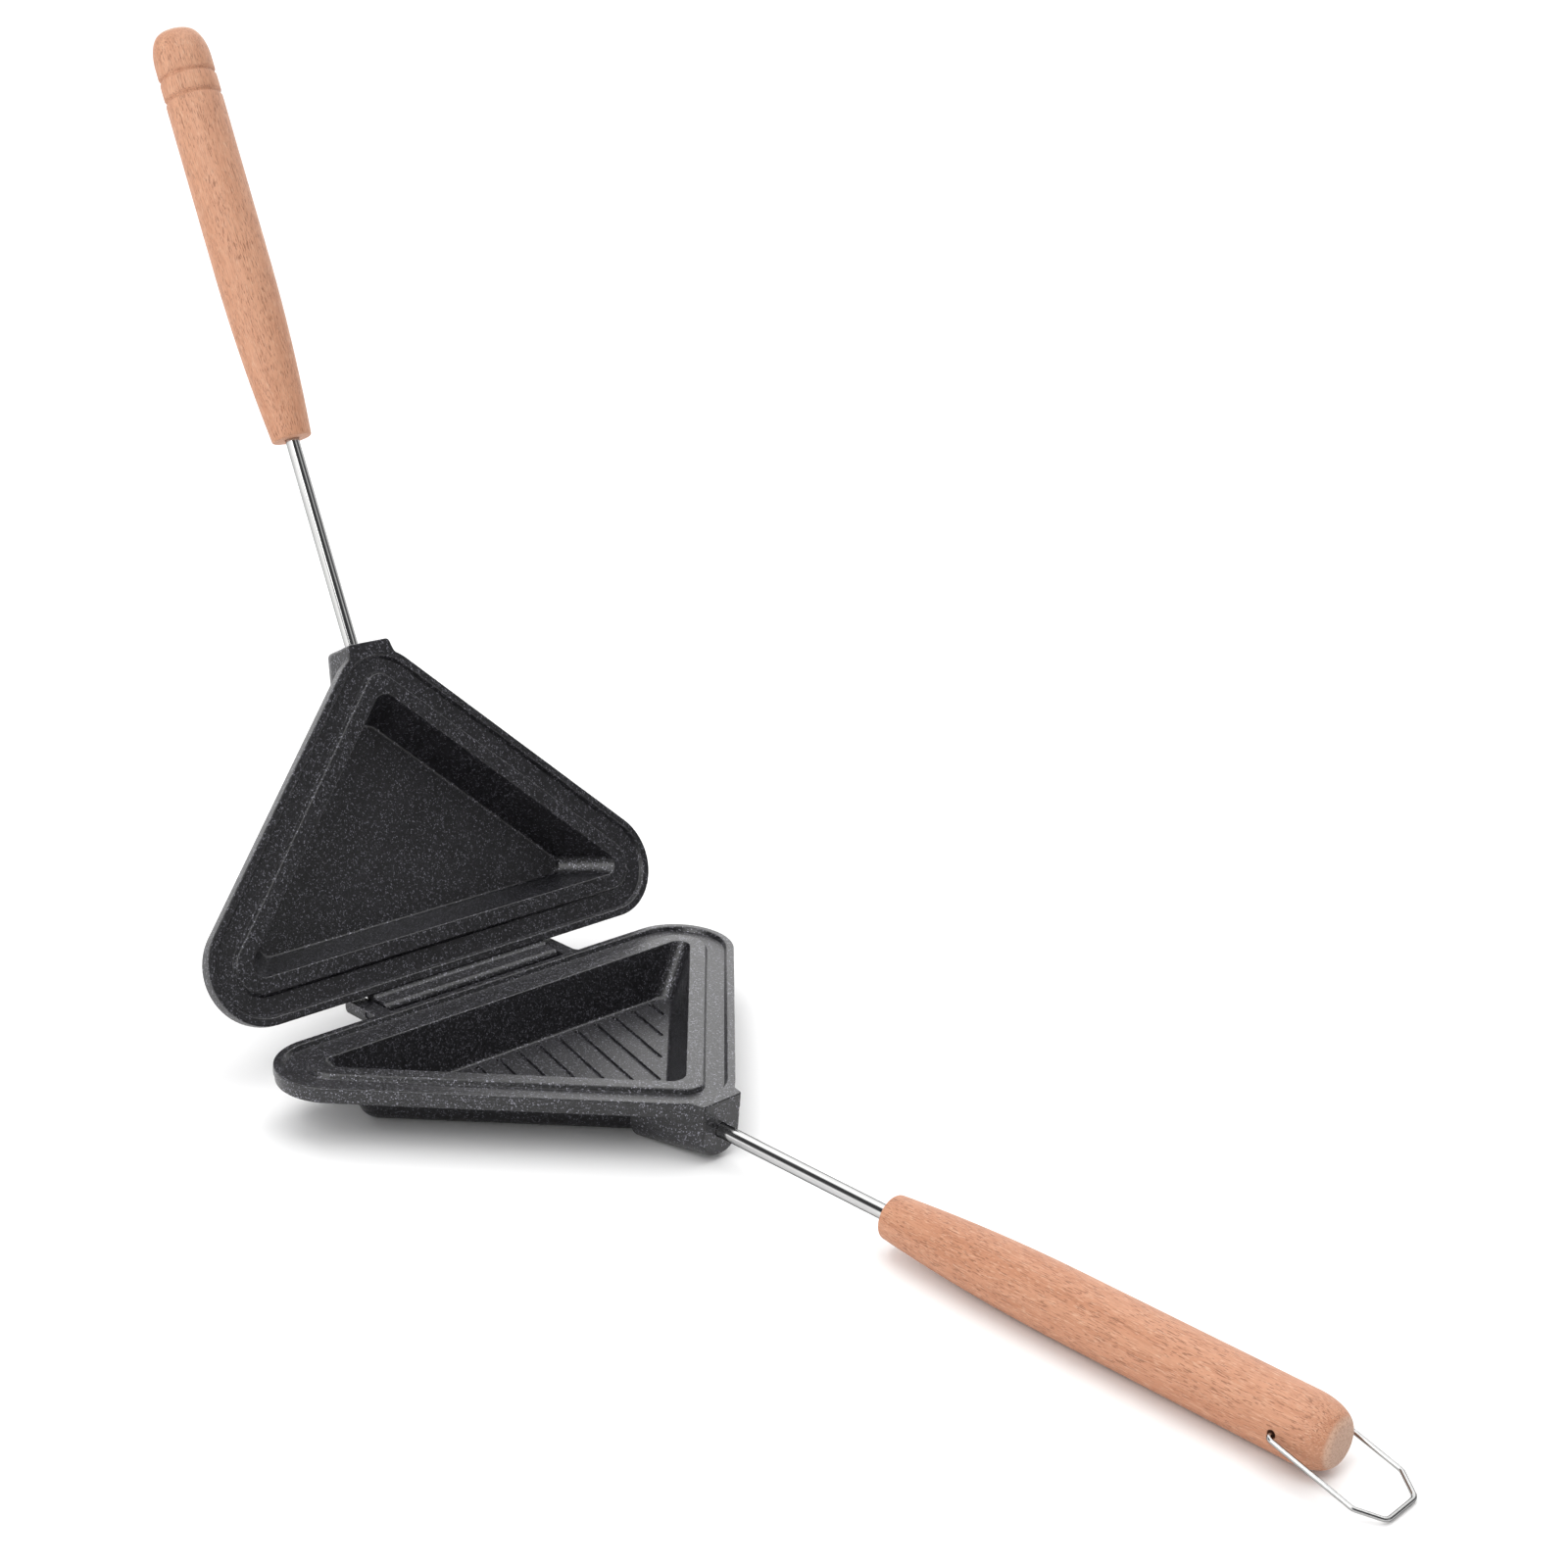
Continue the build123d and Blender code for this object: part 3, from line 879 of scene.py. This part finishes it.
    def inner_rings(self) -> list[Outline]:
        """The inside, from the lip over the channel and the land down to the cavity's floor.

        Returns:
            The outlines in order.
        """
        rings = []
        for away, height in self.channel_side():
            inset = self.lip_width + away
            rings.append(self.plain(height, inset, self.corner - inset, self.corner - inset))
        for away, height in reversed(self.channel_side()):
            rings.append(self.plain(height, self.land_inset - away, self.land_corner + away,
                                    self.land_nose + away))
        bend = pi / 2 - atan2(self.cavity_run, self.cavity_depth)
        run = self.mouth_round * tan(bend / 2)
        for angle in fan(bend, ROUND_STEPS):
            inward = self.mouth_round * sin(angle) - run
            height = self.rim_z - self.mouth_round * (1 - cos(angle))
            rings.append(self.plain(height, self.cavity_inset + inward, self.cavity_corner - inward,
                                    self.cavity_nose - inward))
        run = self.floor_round * tan(bend / 2)
        for angle in fan(bend, FLOOR_STEPS):
            inward = run - self.floor_round * sin(bend - angle)
            height = self.floor_z + self.floor_round * (1 - cos(bend - angle))
            tighter = max(inward, 0) * self.floor_tighten
            rings.append(self.plain(height, self.cavity_inset + self.cavity_run + inward,
                                    self.cavity_corner - tighter, self.cavity_nose - tighter))
        return rings

    def socket(self) -> bpy.types.Object:
        """The socket's belly under the rim, cleared where the cavity is.

        Returns:
            The solid that is joined to the shell.
        """
        top = self.wall_z + self.socket_sink
        front_z = self.rod_z - self.socket_half
        back_x = self.socket_x - self.socket_length
        front_x = self.socket_x - self.socket_cover
        places = [(back_x + station, 0.0) for station in self.socket_stations]
        places += [(front_x - self.socket_edge * drop, shrink) for shrink, drop in quarter(5)]
        rings = []
        for x, shrink in places:
            half = self.socket_half + self.socket_slope * (self.socket_x - x)
            half -= self.socket_cover + self.socket_edge * shrink
            low = self.base_z + (front_z - self.base_z) * (x - back_x) / self.socket_length
            low += self.socket_front_rise * shrink
            belly = min(self.socket_belly, half - 0.2) - self.socket_front_tighten * shrink
            path = eased_path([(half, top, 0), (-half, top, 0), (-half, low, belly), (half, low, belly)], 10)
            rings.append([Vector((x, y, z)) for y, z in path])
        block = Drawn(self.name + "_socket", rings).build()
        clear = []
        for height in (self.floor_z - self.socket_clearance, top + 1.0):
            inset = self.cavity_inset + self.cavity_run / self.cavity_depth * (self.rim_z - height)
            inset -= self.socket_clearance
            clear.append(self.plain(height, inset, self.cavity_corner, self.cavity_nose))
        Bench.cut(block, Drawn("cavity_clearance", clear).build())
        return block

    def cast(self) -> bpy.types.Object:
        """The shell with its socket, and the rod's bore with a broken edge at its mouth.

        Returns:
            The piece without what belongs to the hinge.
        """
        piece = Drawn(self.name, self.outer_rings() + self.inner_rings()).build()
        Bench.cut(piece, self.socket(), "UNION")
        rings = [(-self.bore_depth, self.bore * 0.4), (-self.bore_depth, self.bore)]
        rings += [(along, self.bore + wider) for along, wider in DIE_MOUTH]
        place = Matrix.Translation(Vector((self.socket_x, 0, self.rod_z)) * MM)
        Bench.cut(piece, Turned("bore_drill", rings, sides=48).build(place))
        return piece

    def pin_hole(self, piece: bpy.types.Object, radius: float) -> None:
        """Drills the hinge pin's hole along the hinge.

        Args:
            piece: what is drilled.
            radius: the hole's radius.
        """
        rings = [(-self.hinge_reach, radius), (self.hinge_reach, radius)]
        place = Matrix.Translation(self.opening.pin()) @ Matrix.Rotation(pi / 2, 4, "Z")
        Bench.cut(piece, Turned("pin_drill", rings, sides=40).build(place))

    def finished(self, piece: bpy.types.Object, turn: float) -> bpy.types.Object:
        """Shades the casting, coats it and puts it on its body.

        Args:
            piece: the casting in its place.
            turn: how far it is swung open.

        Returns:
            The finished piece.
        """
        Bench.close(piece, self.shade_angle)
        Bench.apply(piece, "WEIGHTED_NORMAL", keep_sharp=True, weight=50)
        coat = self.finish.material(self.name + "_coating", turn)
        Bench.dress(piece, coat, self.body, Slot.DIE, self.node)
        return piece


@dataclass
class LowerCasting(Casting):
    """The lower die, with grooves in its floor and two ears for the pin."""

    name: str = "lower_die_casting"
    node: str = "lower_die"
    body: Body = Body.LOWER
    cavity_depth: float = 18.2
    groove_section: tuple[Point, ...] = ((0.9, 0.5), (0.86, 0.68), (0.7, 0.8), (0.25, 0.9), (0.1, 0.96),
                                         (0.0, 1.12), (-0.4, 2.4))
    groove_half: float = 0.95
    groove_pitch: float = 9.3
    groove_slant: float = radians(15.5)
    groove_start: float = 1.9
    groove_end: float = 3.0
    groove_shortest: float = 6.0
    groove_corner_gap: float = 13.6
    ear_levels: tuple[float, ...] = (0, 0.1, 0.22, 0.42, 0.8, 1.4, 2.2)
    ear_fold: float = 0.1
    ear_inside: float = 40.3
    ear_outside: float = 46.8
    ear_length: float = 13.0
    ear_top: float = 21.065
    ear_overlap: float = 0.02
    ear_depth: float = 2.0
    ear_corner: float = 0.5
    ear_tip_round: float = 2.2
    ear_root_round: float = 3.0
    ear_hole: float = 1.21

    def build(self) -> bpy.types.Object:
        """Builds the lower die in its place.

        Returns:
            The finished piece.
        """
        piece = self.cast()
        for groove in self.grooves():
            Bench.cut(piece, groove)
        for side in (1, -1):
            ear = self.ear(side)
            self.pin_hole(ear, self.ear_hole)
            Bench.cut(piece, ear, "UNION")
        return self.finished(piece, 0.0)

    def grooves(self) -> list[bpy.types.Object]:
        """The round-ended bars that are cut out of the floor.

        Returns:
            The bars, each as long as the walls allow.
        """
        floor_inset = self.cavity_inset + self.cavity_run
        level = self.inradius - floor_inset
        start_x = self.hinge_x + floor_inset + self.groove_start
        start_y = level * (1 + sqrt(2)) - self.groove_corner_gap
        last_y = -start_y
        forward, aside = cos(self.groove_slant), sin(self.groove_slant)
        bars = []
        while start_y > last_y:
            run = min((level - self.groove_end - (start_x + side * start_y) * sqrt(0.5)) /
                      ((forward - side * aside) * sqrt(0.5)) for side in (1, -1))
            if run > self.groove_shortest:
                bars.append(self.groove_bar(start_x + run / 2 * forward, start_y - run / 2 * aside, run))
            start_y -= self.groove_pitch
        return bars

    def groove_bar(self, middle_x: float, middle_y: float, run: float) -> bpy.types.Object:
        """One bar, narrow below and flared above the floor.

        Args:
            middle_x: the place of its middle along the pan.
            middle_y: the place of its middle along the hinge.
            run: its length.

        Returns:
            The bar.
        """
        forward, aside = cos(self.groove_slant), sin(self.groove_slant)
        reach = run / 2 - self.groove_half
        rings = []
        for below, half in self.groove_section:
            path = arc((reach, 0), half, -90, 90, 8) + arc((-reach, 0), half, 90, 270, 8)
            rings.append([Vector((middle_x + x * forward + y * aside, middle_y - x * aside + y * forward,
                                  self.floor_z - below)) for x, y in path])
        return Drawn("groove_bar", rings).build()

    def ear(self, side: int) -> bpy.types.Object:
        """One ear, rounded at its tip and where it leaves the rim.

        Args:
            side: 1 for the far ear and -1 for the near one.

        Returns:
            The ear, without its hole.
        """
        thick = self.ear_top - self.wall_z
        tier = self.rim_height - self.tier_height
        levels = [*self.ear_levels, tier - self.ear_fold, tier + self.ear_fold]
        levels += [thick - level for level in reversed(self.ear_levels) if thick - level > levels[-1]]
        rings = []
        for level in levels:
            near = min(level, thick - level)
            tip_in, inset = (size - sqrt(size ** 2 - max(size - near, 0) ** 2)
                             for size in (self.ear_tip_round, self.ease))
            inside, outside = self.ear_inside + inset, self.ear_outside - inset
            root = self.hinge_x + self.ear_overlap + (0.0 if level > tier else self.tier_step)
            tip = self.opening.pin_x - self.ear_length + tip_in
            foot = self.ear_outside + 2 * self.ear_root_round
            deep = self.hinge_x + self.ear_depth
            plan = [(deep, inside, 0), (deep, foot, 0), (root, foot, 0),
                    (root, outside, self.ear_root_round + inset), (tip, outside, self.ear_corner),
                    (tip, inside, self.ear_corner)]
            rings.append([Vector((x, side * y, self.wall_z + level)) for x, y in eased_path(plan)])
        return Drawn("hinge_ear", rings).build()


@dataclass
class UpperCasting(Casting):
    """The upper die, with a plain floor and the long lug round the pin."""

    name: str = "upper_die_casting"
    node: str = "upper_die"
    body: Body = Body.UPPER
    cavity_depth: float = 17.1
    lug_depth: float = 2.0
    lug_half: float = 39.9
    lug_gap: float = 0.5
    lug_toe: float = 1.2
    lug_shoulder: float = 0.6
    lug_shoulder_drop: float = 1.6
    lug_root_drop: float = 0.4
    lug_round: float = 1.5
    lug_hollow: float = 2.5
    knuckle: float = 2.7
    lug_hole: float = 1.26

    def build(self) -> bpy.types.Object:
        """Builds the upper die shut and swings it open.

        Returns:
            The finished piece.
        """
        piece = self.cast()
        over = Matrix.Translation((0, 0, 2 * self.meet_z * MM)) @ Matrix.Diagonal((1, 1, -1, 1))
        Bench.settle(piece, over)
        Bench.close(piece)
        lug = self.lug()
        self.pin_hole(lug, self.lug_hole)
        Bench.cut(piece, lug, "UNION")
        Bench.settle(piece, self.opening.matrix())
        return self.finished(piece, self.opening.angle)

    def lug(self) -> bpy.types.Object:
        """The lug, its side drawn out along the hinge with eased ends.

        Returns:
            The lug, without its hole.
        """
        pin_x, pin_z = self.opening.pin_x, self.opening.pin_z
        floor = self.meet_z + self.lug_gap
        top = 2 * self.meet_z - self.wall_z
        toe = self.hinge_x - self.lug_toe
        deep = self.hinge_x + self.lug_depth
        span = sqrt((toe - pin_x) ** 2 + (floor - pin_z) ** 2)
        touch = degrees(atan2(floor - pin_z, toe - pin_x) - acos(self.knuckle / span))
        corners = [(deep, floor, 0), (toe, floor, self.lug_hollow)]
        corners += [(x, z, 0) for x, z in arc((pin_x, pin_z), self.knuckle, touch, -180, 14)]
        corners += [(pin_x - self.lug_shoulder, top - self.lug_shoulder_drop, self.lug_round)]
        corners += [(deep, top - self.lug_root_drop, 0)]
        side = eased_path(corners)
        ends = [(-self.lug_half + self.ease * along, self.ease * inset) for along, inset in quarter(3)]
        ends += [(-along, inset) for along, inset in reversed(ends)]
        return Drawn("hinge_lug", [[Vector((x, along, z)) for x, z in drawn_in(side, inset)]
                                   for along, inset in ends]).build()


@dataclass
class Grip:
    """A turned beech grip, with its places along it counted from its rod's end."""

    node: str
    name: str
    body: Body
    line: Line
    length: float
    seed: float
    seats: tuple[float, ...]
    hole: float
    finish: TurnedBeech
    barrel: float = 10.6
    nose: float = 7.4
    nose_round: float = 0.7
    swell: float = 68.0
    end_flat: float = 5.2
    end_run: float = 11.5
    bore: float = 2.52
    bore_depth: float = 32.0
    seat_half: float = 1.1
    seat_foot: float = 0.3
    seat_depth: float = 0.9
    seat_lip: Point = (0.25, 0.06)
    hole_radius: float = 1.35
    swell_steps: int = 30
    end_steps: int = 20

    def swell_radius(self, along: float) -> float:
        """Radius on the wide arc from the nose to the barrel.

        Args:
            along: the place along the grip.

        Returns:
            The radius there.
        """
        run = self.swell - self.nose_round
        rise = self.barrel - self.nose
        wide = (run ** 2 + rise ** 2) / (2 * rise)
        return self.barrel - wide + sqrt(wide ** 2 - (self.swell - along) ** 2)

    def seat_rings(self) -> list[Point]:
        """The turned grooves for the loop, each with its lips broken.

        Returns:
            Places and radii.
        """
        lip, broken = self.seat_lip
        section = [(self.seat_half + lip, self.barrel), (self.seat_half, self.barrel - broken),
                   (self.seat_foot, self.barrel - self.seat_depth)]
        rings = []
        for seat in sorted(self.length - place for place in self.seats):
            rings += [(seat - away, radius) for away, radius in section]
            rings += [(seat + away, radius) for away, radius in reversed(section)]
        return rings

    def rings(self) -> list[Point]:
        """The whole outside, from the bottom of the bore out to the nose and on to the far end.

        Returns:
            Places and radii. The far end is a quarter of an ellipse from the barrel into the flat.
        """
        bore = [(self.bore_depth, self.bore * 0.3), (self.bore_depth, self.bore)]
        bore += [(along, self.bore + wider) for along, wider in GRIP_MOUTH]
        nose = [(self.nose_round * along, self.nose - self.nose_round * drop) for along, drop in quarter(4)]
        runs = fan(self.swell - self.nose_round, self.swell_steps)
        places = [self.nose_round + run for run in runs[1:]]
        swell = [(along, self.swell_radius(along)) for along in places]
        drop, run = self.barrel - self.end_flat, self.end_run
        rounded = quarter(self.end_steps)
        end = [(self.length - run * short, self.barrel - drop * down) for down, short in rounded]
        return bore + nose + swell + self.seat_rings() + end + [(self.length, self.end_flat * 0.45)]

    def build(self) -> bpy.types.Object:
        """Turns the grip, drills its cross hole and lays it on its rod.

        Returns:
            The finished piece.
        """
        piece = Turned(self.name, self.rings()).build(Matrix.Identity(4))
        if self.hole:
            self.drill(piece)
        Bench.settle(piece, self.line.matrix())
        wood = self.finish.material(self.name + "_beech", self.line, self.length, self.seed)
        Bench.dress(piece, wood, self.body, Slot.BEECH, self.node)
        return piece

    def drill(self, piece: bpy.types.Object) -> None:
        """Cuts the loop's cross hole.

        Args:
            piece: the grip, still lying along X.
        """
        Bench.clear()
        bpy.ops.mesh.primitive_cylinder_add(vertices=40, radius=self.hole_radius * MM,
                                            depth=4 * self.barrel * MM, rotation=(pi / 2, 0, 0),
                                            location=((self.length - self.hole) * MM, 0, 0))
        Bench.cut(piece, bpy.context.object)
        Bench.hold(piece)
        bpy.ops.object.shade_smooth_by_angle(angle=radians(SHADE_ANGLE))


@dataclass
class Rod:
    """A straight steel rod between a die and its grip."""

    node: str
    name: str
    body: Body
    line: Line
    length: float
    radius: float = 2.5
    edge: float = 0.35
    spans: int = 12
    finish: DrawnSteel = DrawnSteel()

    def build(self) -> bpy.types.Object:
        """Draws the rod with eased ends and lays it in place.

        Returns:
            The finished piece.
        """
        end = [(0.0, self.radius * 0.5), (0.0, self.radius - self.edge), (self.edge, self.radius)]
        rings = end + [(along, self.radius) for along in fan(self.length, self.spans)[1:-1]]
        rings += [(self.length - along, radius) for along, radius in reversed(end)]
        piece = Turned(self.name, rings, sides=48).build(self.line.matrix())
        steel = self.finish.material(self.name + "_steel", self.line.turn)
        Bench.dress(piece, steel, self.body, Slot.STEEL, self.node)
        return piece


@dataclass
class HingePin:
    """The hinge pin, pressed in to just inside the ears and darkened by the coating's heat."""

    name: str = "hinge_pin_pressed"
    opening: Opening = Opening()
    half: float = 46.5
    radius: float = 1.2
    bevel: float = 0.3
    finish: DrawnSteel = DrawnSteel((0.10, 0.10, 0.11), (0.05, 0.05, 0.05), 0.34)

    def build(self) -> bpy.types.Object:
        """Draws the pin along X and turns it along Y.

        Returns:
            The finished piece.
        """
        half, radius, bevel = self.half, self.radius, self.bevel
        end = [(-half, radius * 0.4)]
        end += [(-half + bevel * along, radius - bevel * drop) for along, drop in quarter(4)]
        rings = end + [(-along, size) for along, size in reversed(end)]
        place = Matrix.Translation(self.opening.pin()) @ Matrix.Rotation(pi / 2, 4, "Z")
        piece = Turned(self.name, rings, sides=40).build(place)
        Bench.dress(piece, self.finish.material("hinge_pin_steel"), Body.LOWER, Slot.STEEL, "hinge_pin")
        return piece


@dataclass
class WireLoop:
    """The bent wire loop in the lower grip's cross hole."""

    name: str = "locking_wire_loop"
    merge: float = 2e-6
    shade_angle: float = 50.0
    finish: DrawnSteel = DrawnSteel((0.44, 0.44, 0.435), (0.30, 0.30, 0.30), 0.16)

    def build(self) -> bpy.types.Object:
        """Copies the solid wire and rounds its shading.

        Returns:
            The finished piece.
        """
        Bench.clear()
        piece = bpy.data.objects.new(self.name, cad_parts["lock_loop"].data.copy())
        piece.data.name = self.name
        bpy.context.scene.collection.objects.link(piece)
        Bench.edit(piece)
        bpy.ops.mesh.customdata_custom_splitnormals_clear()
        bpy.ops.mesh.remove_doubles(threshold=self.merge)
        bpy.ops.object.mode_set(mode="OBJECT")
        bpy.ops.object.shade_smooth_by_angle(angle=radians(self.shade_angle))
        steel = self.finish.material(self.name + "_steel", stretch=0.2)
        Bench.dress(piece, steel, Body.LOOP, Slot.WIRE, "lock_loop")
        return piece


@dataclass
class Handle:
    """One handle: a rod out of the die's socket and a grip on it."""

    side: str
    body: Body
    free: float
    grip_length: float
    seed: float
    seats: tuple[float, ...] = ()
    hole: float = 0.0
    wood: TurnedBeech = TurnedBeech()
    opening: Opening = Opening()
    socket_x: float = 70.1366
    rod_z: float = 10.8
    meet_z: float = 21.8
    rod_in_die: float = 18.7
    rod_in_grip: float = 31.7

    def line(self, along: float) -> Line:
        """The handle's own line from a place on it, at rest.

        Args:
            along: the place along the shut pan.

        Returns:
            Where a piece that starts there lies.
        """
        if self.body is Body.LOWER:
            return Line(Vector((along, 0, self.rod_z)) * MM, 0.0)
        shut = Vector((along, 0, 2 * self.meet_z - self.rod_z)) * MM
        return Line(self.opening.matrix() @ shut, self.opening.angle)

    def build(self) -> None:
        """Builds the rod and the grip."""
        back = self.socket_x - self.rod_in_die
        front = self.socket_x + self.free
        Rod(self.side + "_rod", self.side + "_steel_rod", self.body, self.line(back),
            front + self.rod_in_grip - back).build()
        Grip(self.side + "_grip", self.side + "_beech_grip", self.body, self.line(front), self.grip_length,
             self.seed, self.seats, self.hole, self.wood).build()


@dataclass
class LowerHandle(Handle):
    """The lower handle, whose grip has the loop's cross hole."""

    side: str = "lower"
    body: Body = Body.LOWER
    free: float = 75.5
    grip_length: float = 160.0
    seed: float = 0.2
    hole: float = 15.6


@dataclass
class UpperHandle(Handle):
    """The upper handle, whose grip has two turned grooves for the loop; its paler beech is painted light, a
    lit copy of the beech that makes up for light its right side misses.
    """

    side: str = "upper"
    body: Body = Body.UPPER
    free: float = 80.5
    grip_length: float = 156.5
    seed: float = 0.7
    seats: tuple[float, ...] = (17.2, 25.3)
    # Paler beech here is painted light: a lit copy of the beech, standing in for light that the tent's dim
    # right side keeps off this grip.
    wood: TurnedBeech = TurnedBeech((0.600, 0.310, 0.190), (0.500, 0.230, 0.128))


@dataclass(frozen=True)
class Patch:
    """A part of the tent with a tone of its own, which sets in as a direction nears its heading."""

    heading: Triple
    start: float
    full: float
    tone: Colour


@dataclass
class Studio:
    """The floor, the tent, the lamp and the camera, with all but the eye's place in metres."""

    eye: Triple = (553.7, -509.7, 374.2)
    right: Triple = (0.72328, 0.68797, 0.05966)
    down: Triple = (0.26498, -0.19672, -0.94397)
    ahead: Triple = (-0.63769, 0.69857, -0.32458)
    lens: float = 54.17
    sensor: float = 36.0
    tent: Colour = (1.0, 1.0, 1.0)
    tent_strength: float = 1.7
    bright_top: Patch = Patch((0, 0, 1), 0.35, 0.85, (1.30, 1.30, 1.30))
    dim_right: Patch = Patch((0.72, 0.66, 0.15), 0.60, 0.92, (0.08, 0.08, 0.084))
    bright_back: Patch = Patch((-0.66, 0.70, 0.34), 0.70, 0.95, (1.14, 1.14, 1.14))
    strip: Patch = Patch((0.835, 0.342, 0.43), 0.968, 0.988, (0.50, 0.50, 0.50))
    right_cloth: Patch = Patch((0.78, -0.485, 0.40), 0.64, 0.87, (0.04, 0.04, 0.042))
    left_cloth: Patch = Patch((-0.64, -0.56, 0.52), 0.84, 0.96, (0.04, 0.04, 0.042))
    lamp_place: Triple = (0.35, -1.25, 1.15)
    lamp_aim: Triple = (0.08, 0.0, 0.08)
    lamp_size: float = 0.9
    lamp_power: float = 9.0
    floor_size: float = 60.0
    floor_z: float = -0.0003
    paper: tuple[Colour, Colour] = ((0.92, 0.92, 0.92), (0.94, 0.94, 0.94))

    def floor(self) -> None:
        """Lays a wide pale floor just under the pan."""
        Bench.clear()
        bpy.ops.mesh.primitive_plane_add(size=self.floor_size, location=(0, 0, self.floor_z))
        ground = bpy.context.object
        ground.name = "studio_floor"
        s = Shader("studio_floor_paper")
        tone = s.blend(s.noise(s.place(), 3, 2), *self.paper)
        ground.data.materials.append(s.finish(base_color=tone, roughness=0.85, specular_ior_level=0.1))

    def surroundings(self) -> None:
        """Hangs the tent, which the camera itself sees as plain white."""
        air = Tent("studio_tent")
        cloth = self.tent
        for patch in (self.bright_top, self.dim_right, self.bright_back, self.strip, self.right_cloth,
                      self.left_cloth):
            cloth = air.blend(air.along(patch.heading).ramp(patch.start, patch.full), cloth, patch.tone)
        backdrop = air.node("ShaderNodeLightPath", {}, output="Is Camera Ray")
        air.fill(air.blend(backdrop, cloth, self.tent), self.tent_strength)

    def lamp(self) -> None:
        """Hangs one soft square lamp in front of the pan."""
        light = bpy.data.lights.new("key_light", "AREA")
        light.shape = "SQUARE"
        light.size = self.lamp_size
        light.energy = self.lamp_power
        lamp = bpy.data.objects.new("key_light", light)
        lamp.location = self.lamp_place
        lamp.visible_camera = False
        way = Vector(self.lamp_aim) - Vector(self.lamp_place)
        lamp.rotation_euler = way.to_track_quat("-Z", "Y").to_euler()
        bpy.context.scene.collection.objects.link(lamp)

    def camera(self) -> None:
        """Stands the camera where the photograph was taken from."""
        data = bpy.data.cameras.new("photo_camera")
        data.sensor_width = self.sensor
        data.lens = self.lens
        data.dof.use_dof = False
        data.clip_start = 0.01
        data.clip_end = 200.0
        camera = bpy.data.objects.new("photo_camera", data)
        axes = Matrix((Vector(self.right), -Vector(self.down), -Vector(self.ahead))).transposed()
        camera.matrix_world = Matrix.Translation(Vector(self.eye) * MM) @ axes.normalized().to_4x4()
        bpy.context.scene.collection.objects.link(camera)
        bpy.context.scene.camera = camera

    def build(self) -> None:
        """Sets up the whole studio."""
        self.floor()
        self.surroundings()
        self.lamp()
        self.camera()
        bpy.context.scene.view_settings.view_transform = "Standard"


def main() -> None:
    """Builds the pan and the studio in order."""
    logging.basicConfig(level=logging.INFO, format="%(name)s %(message)s")
    for assembly in (LowerCasting(), UpperCasting(), LowerHandle(), UpperHandle(), HingePin(), WireLoop(),
                     Studio()):
        assembly.build()


if __name__ == "__main__":
    main()
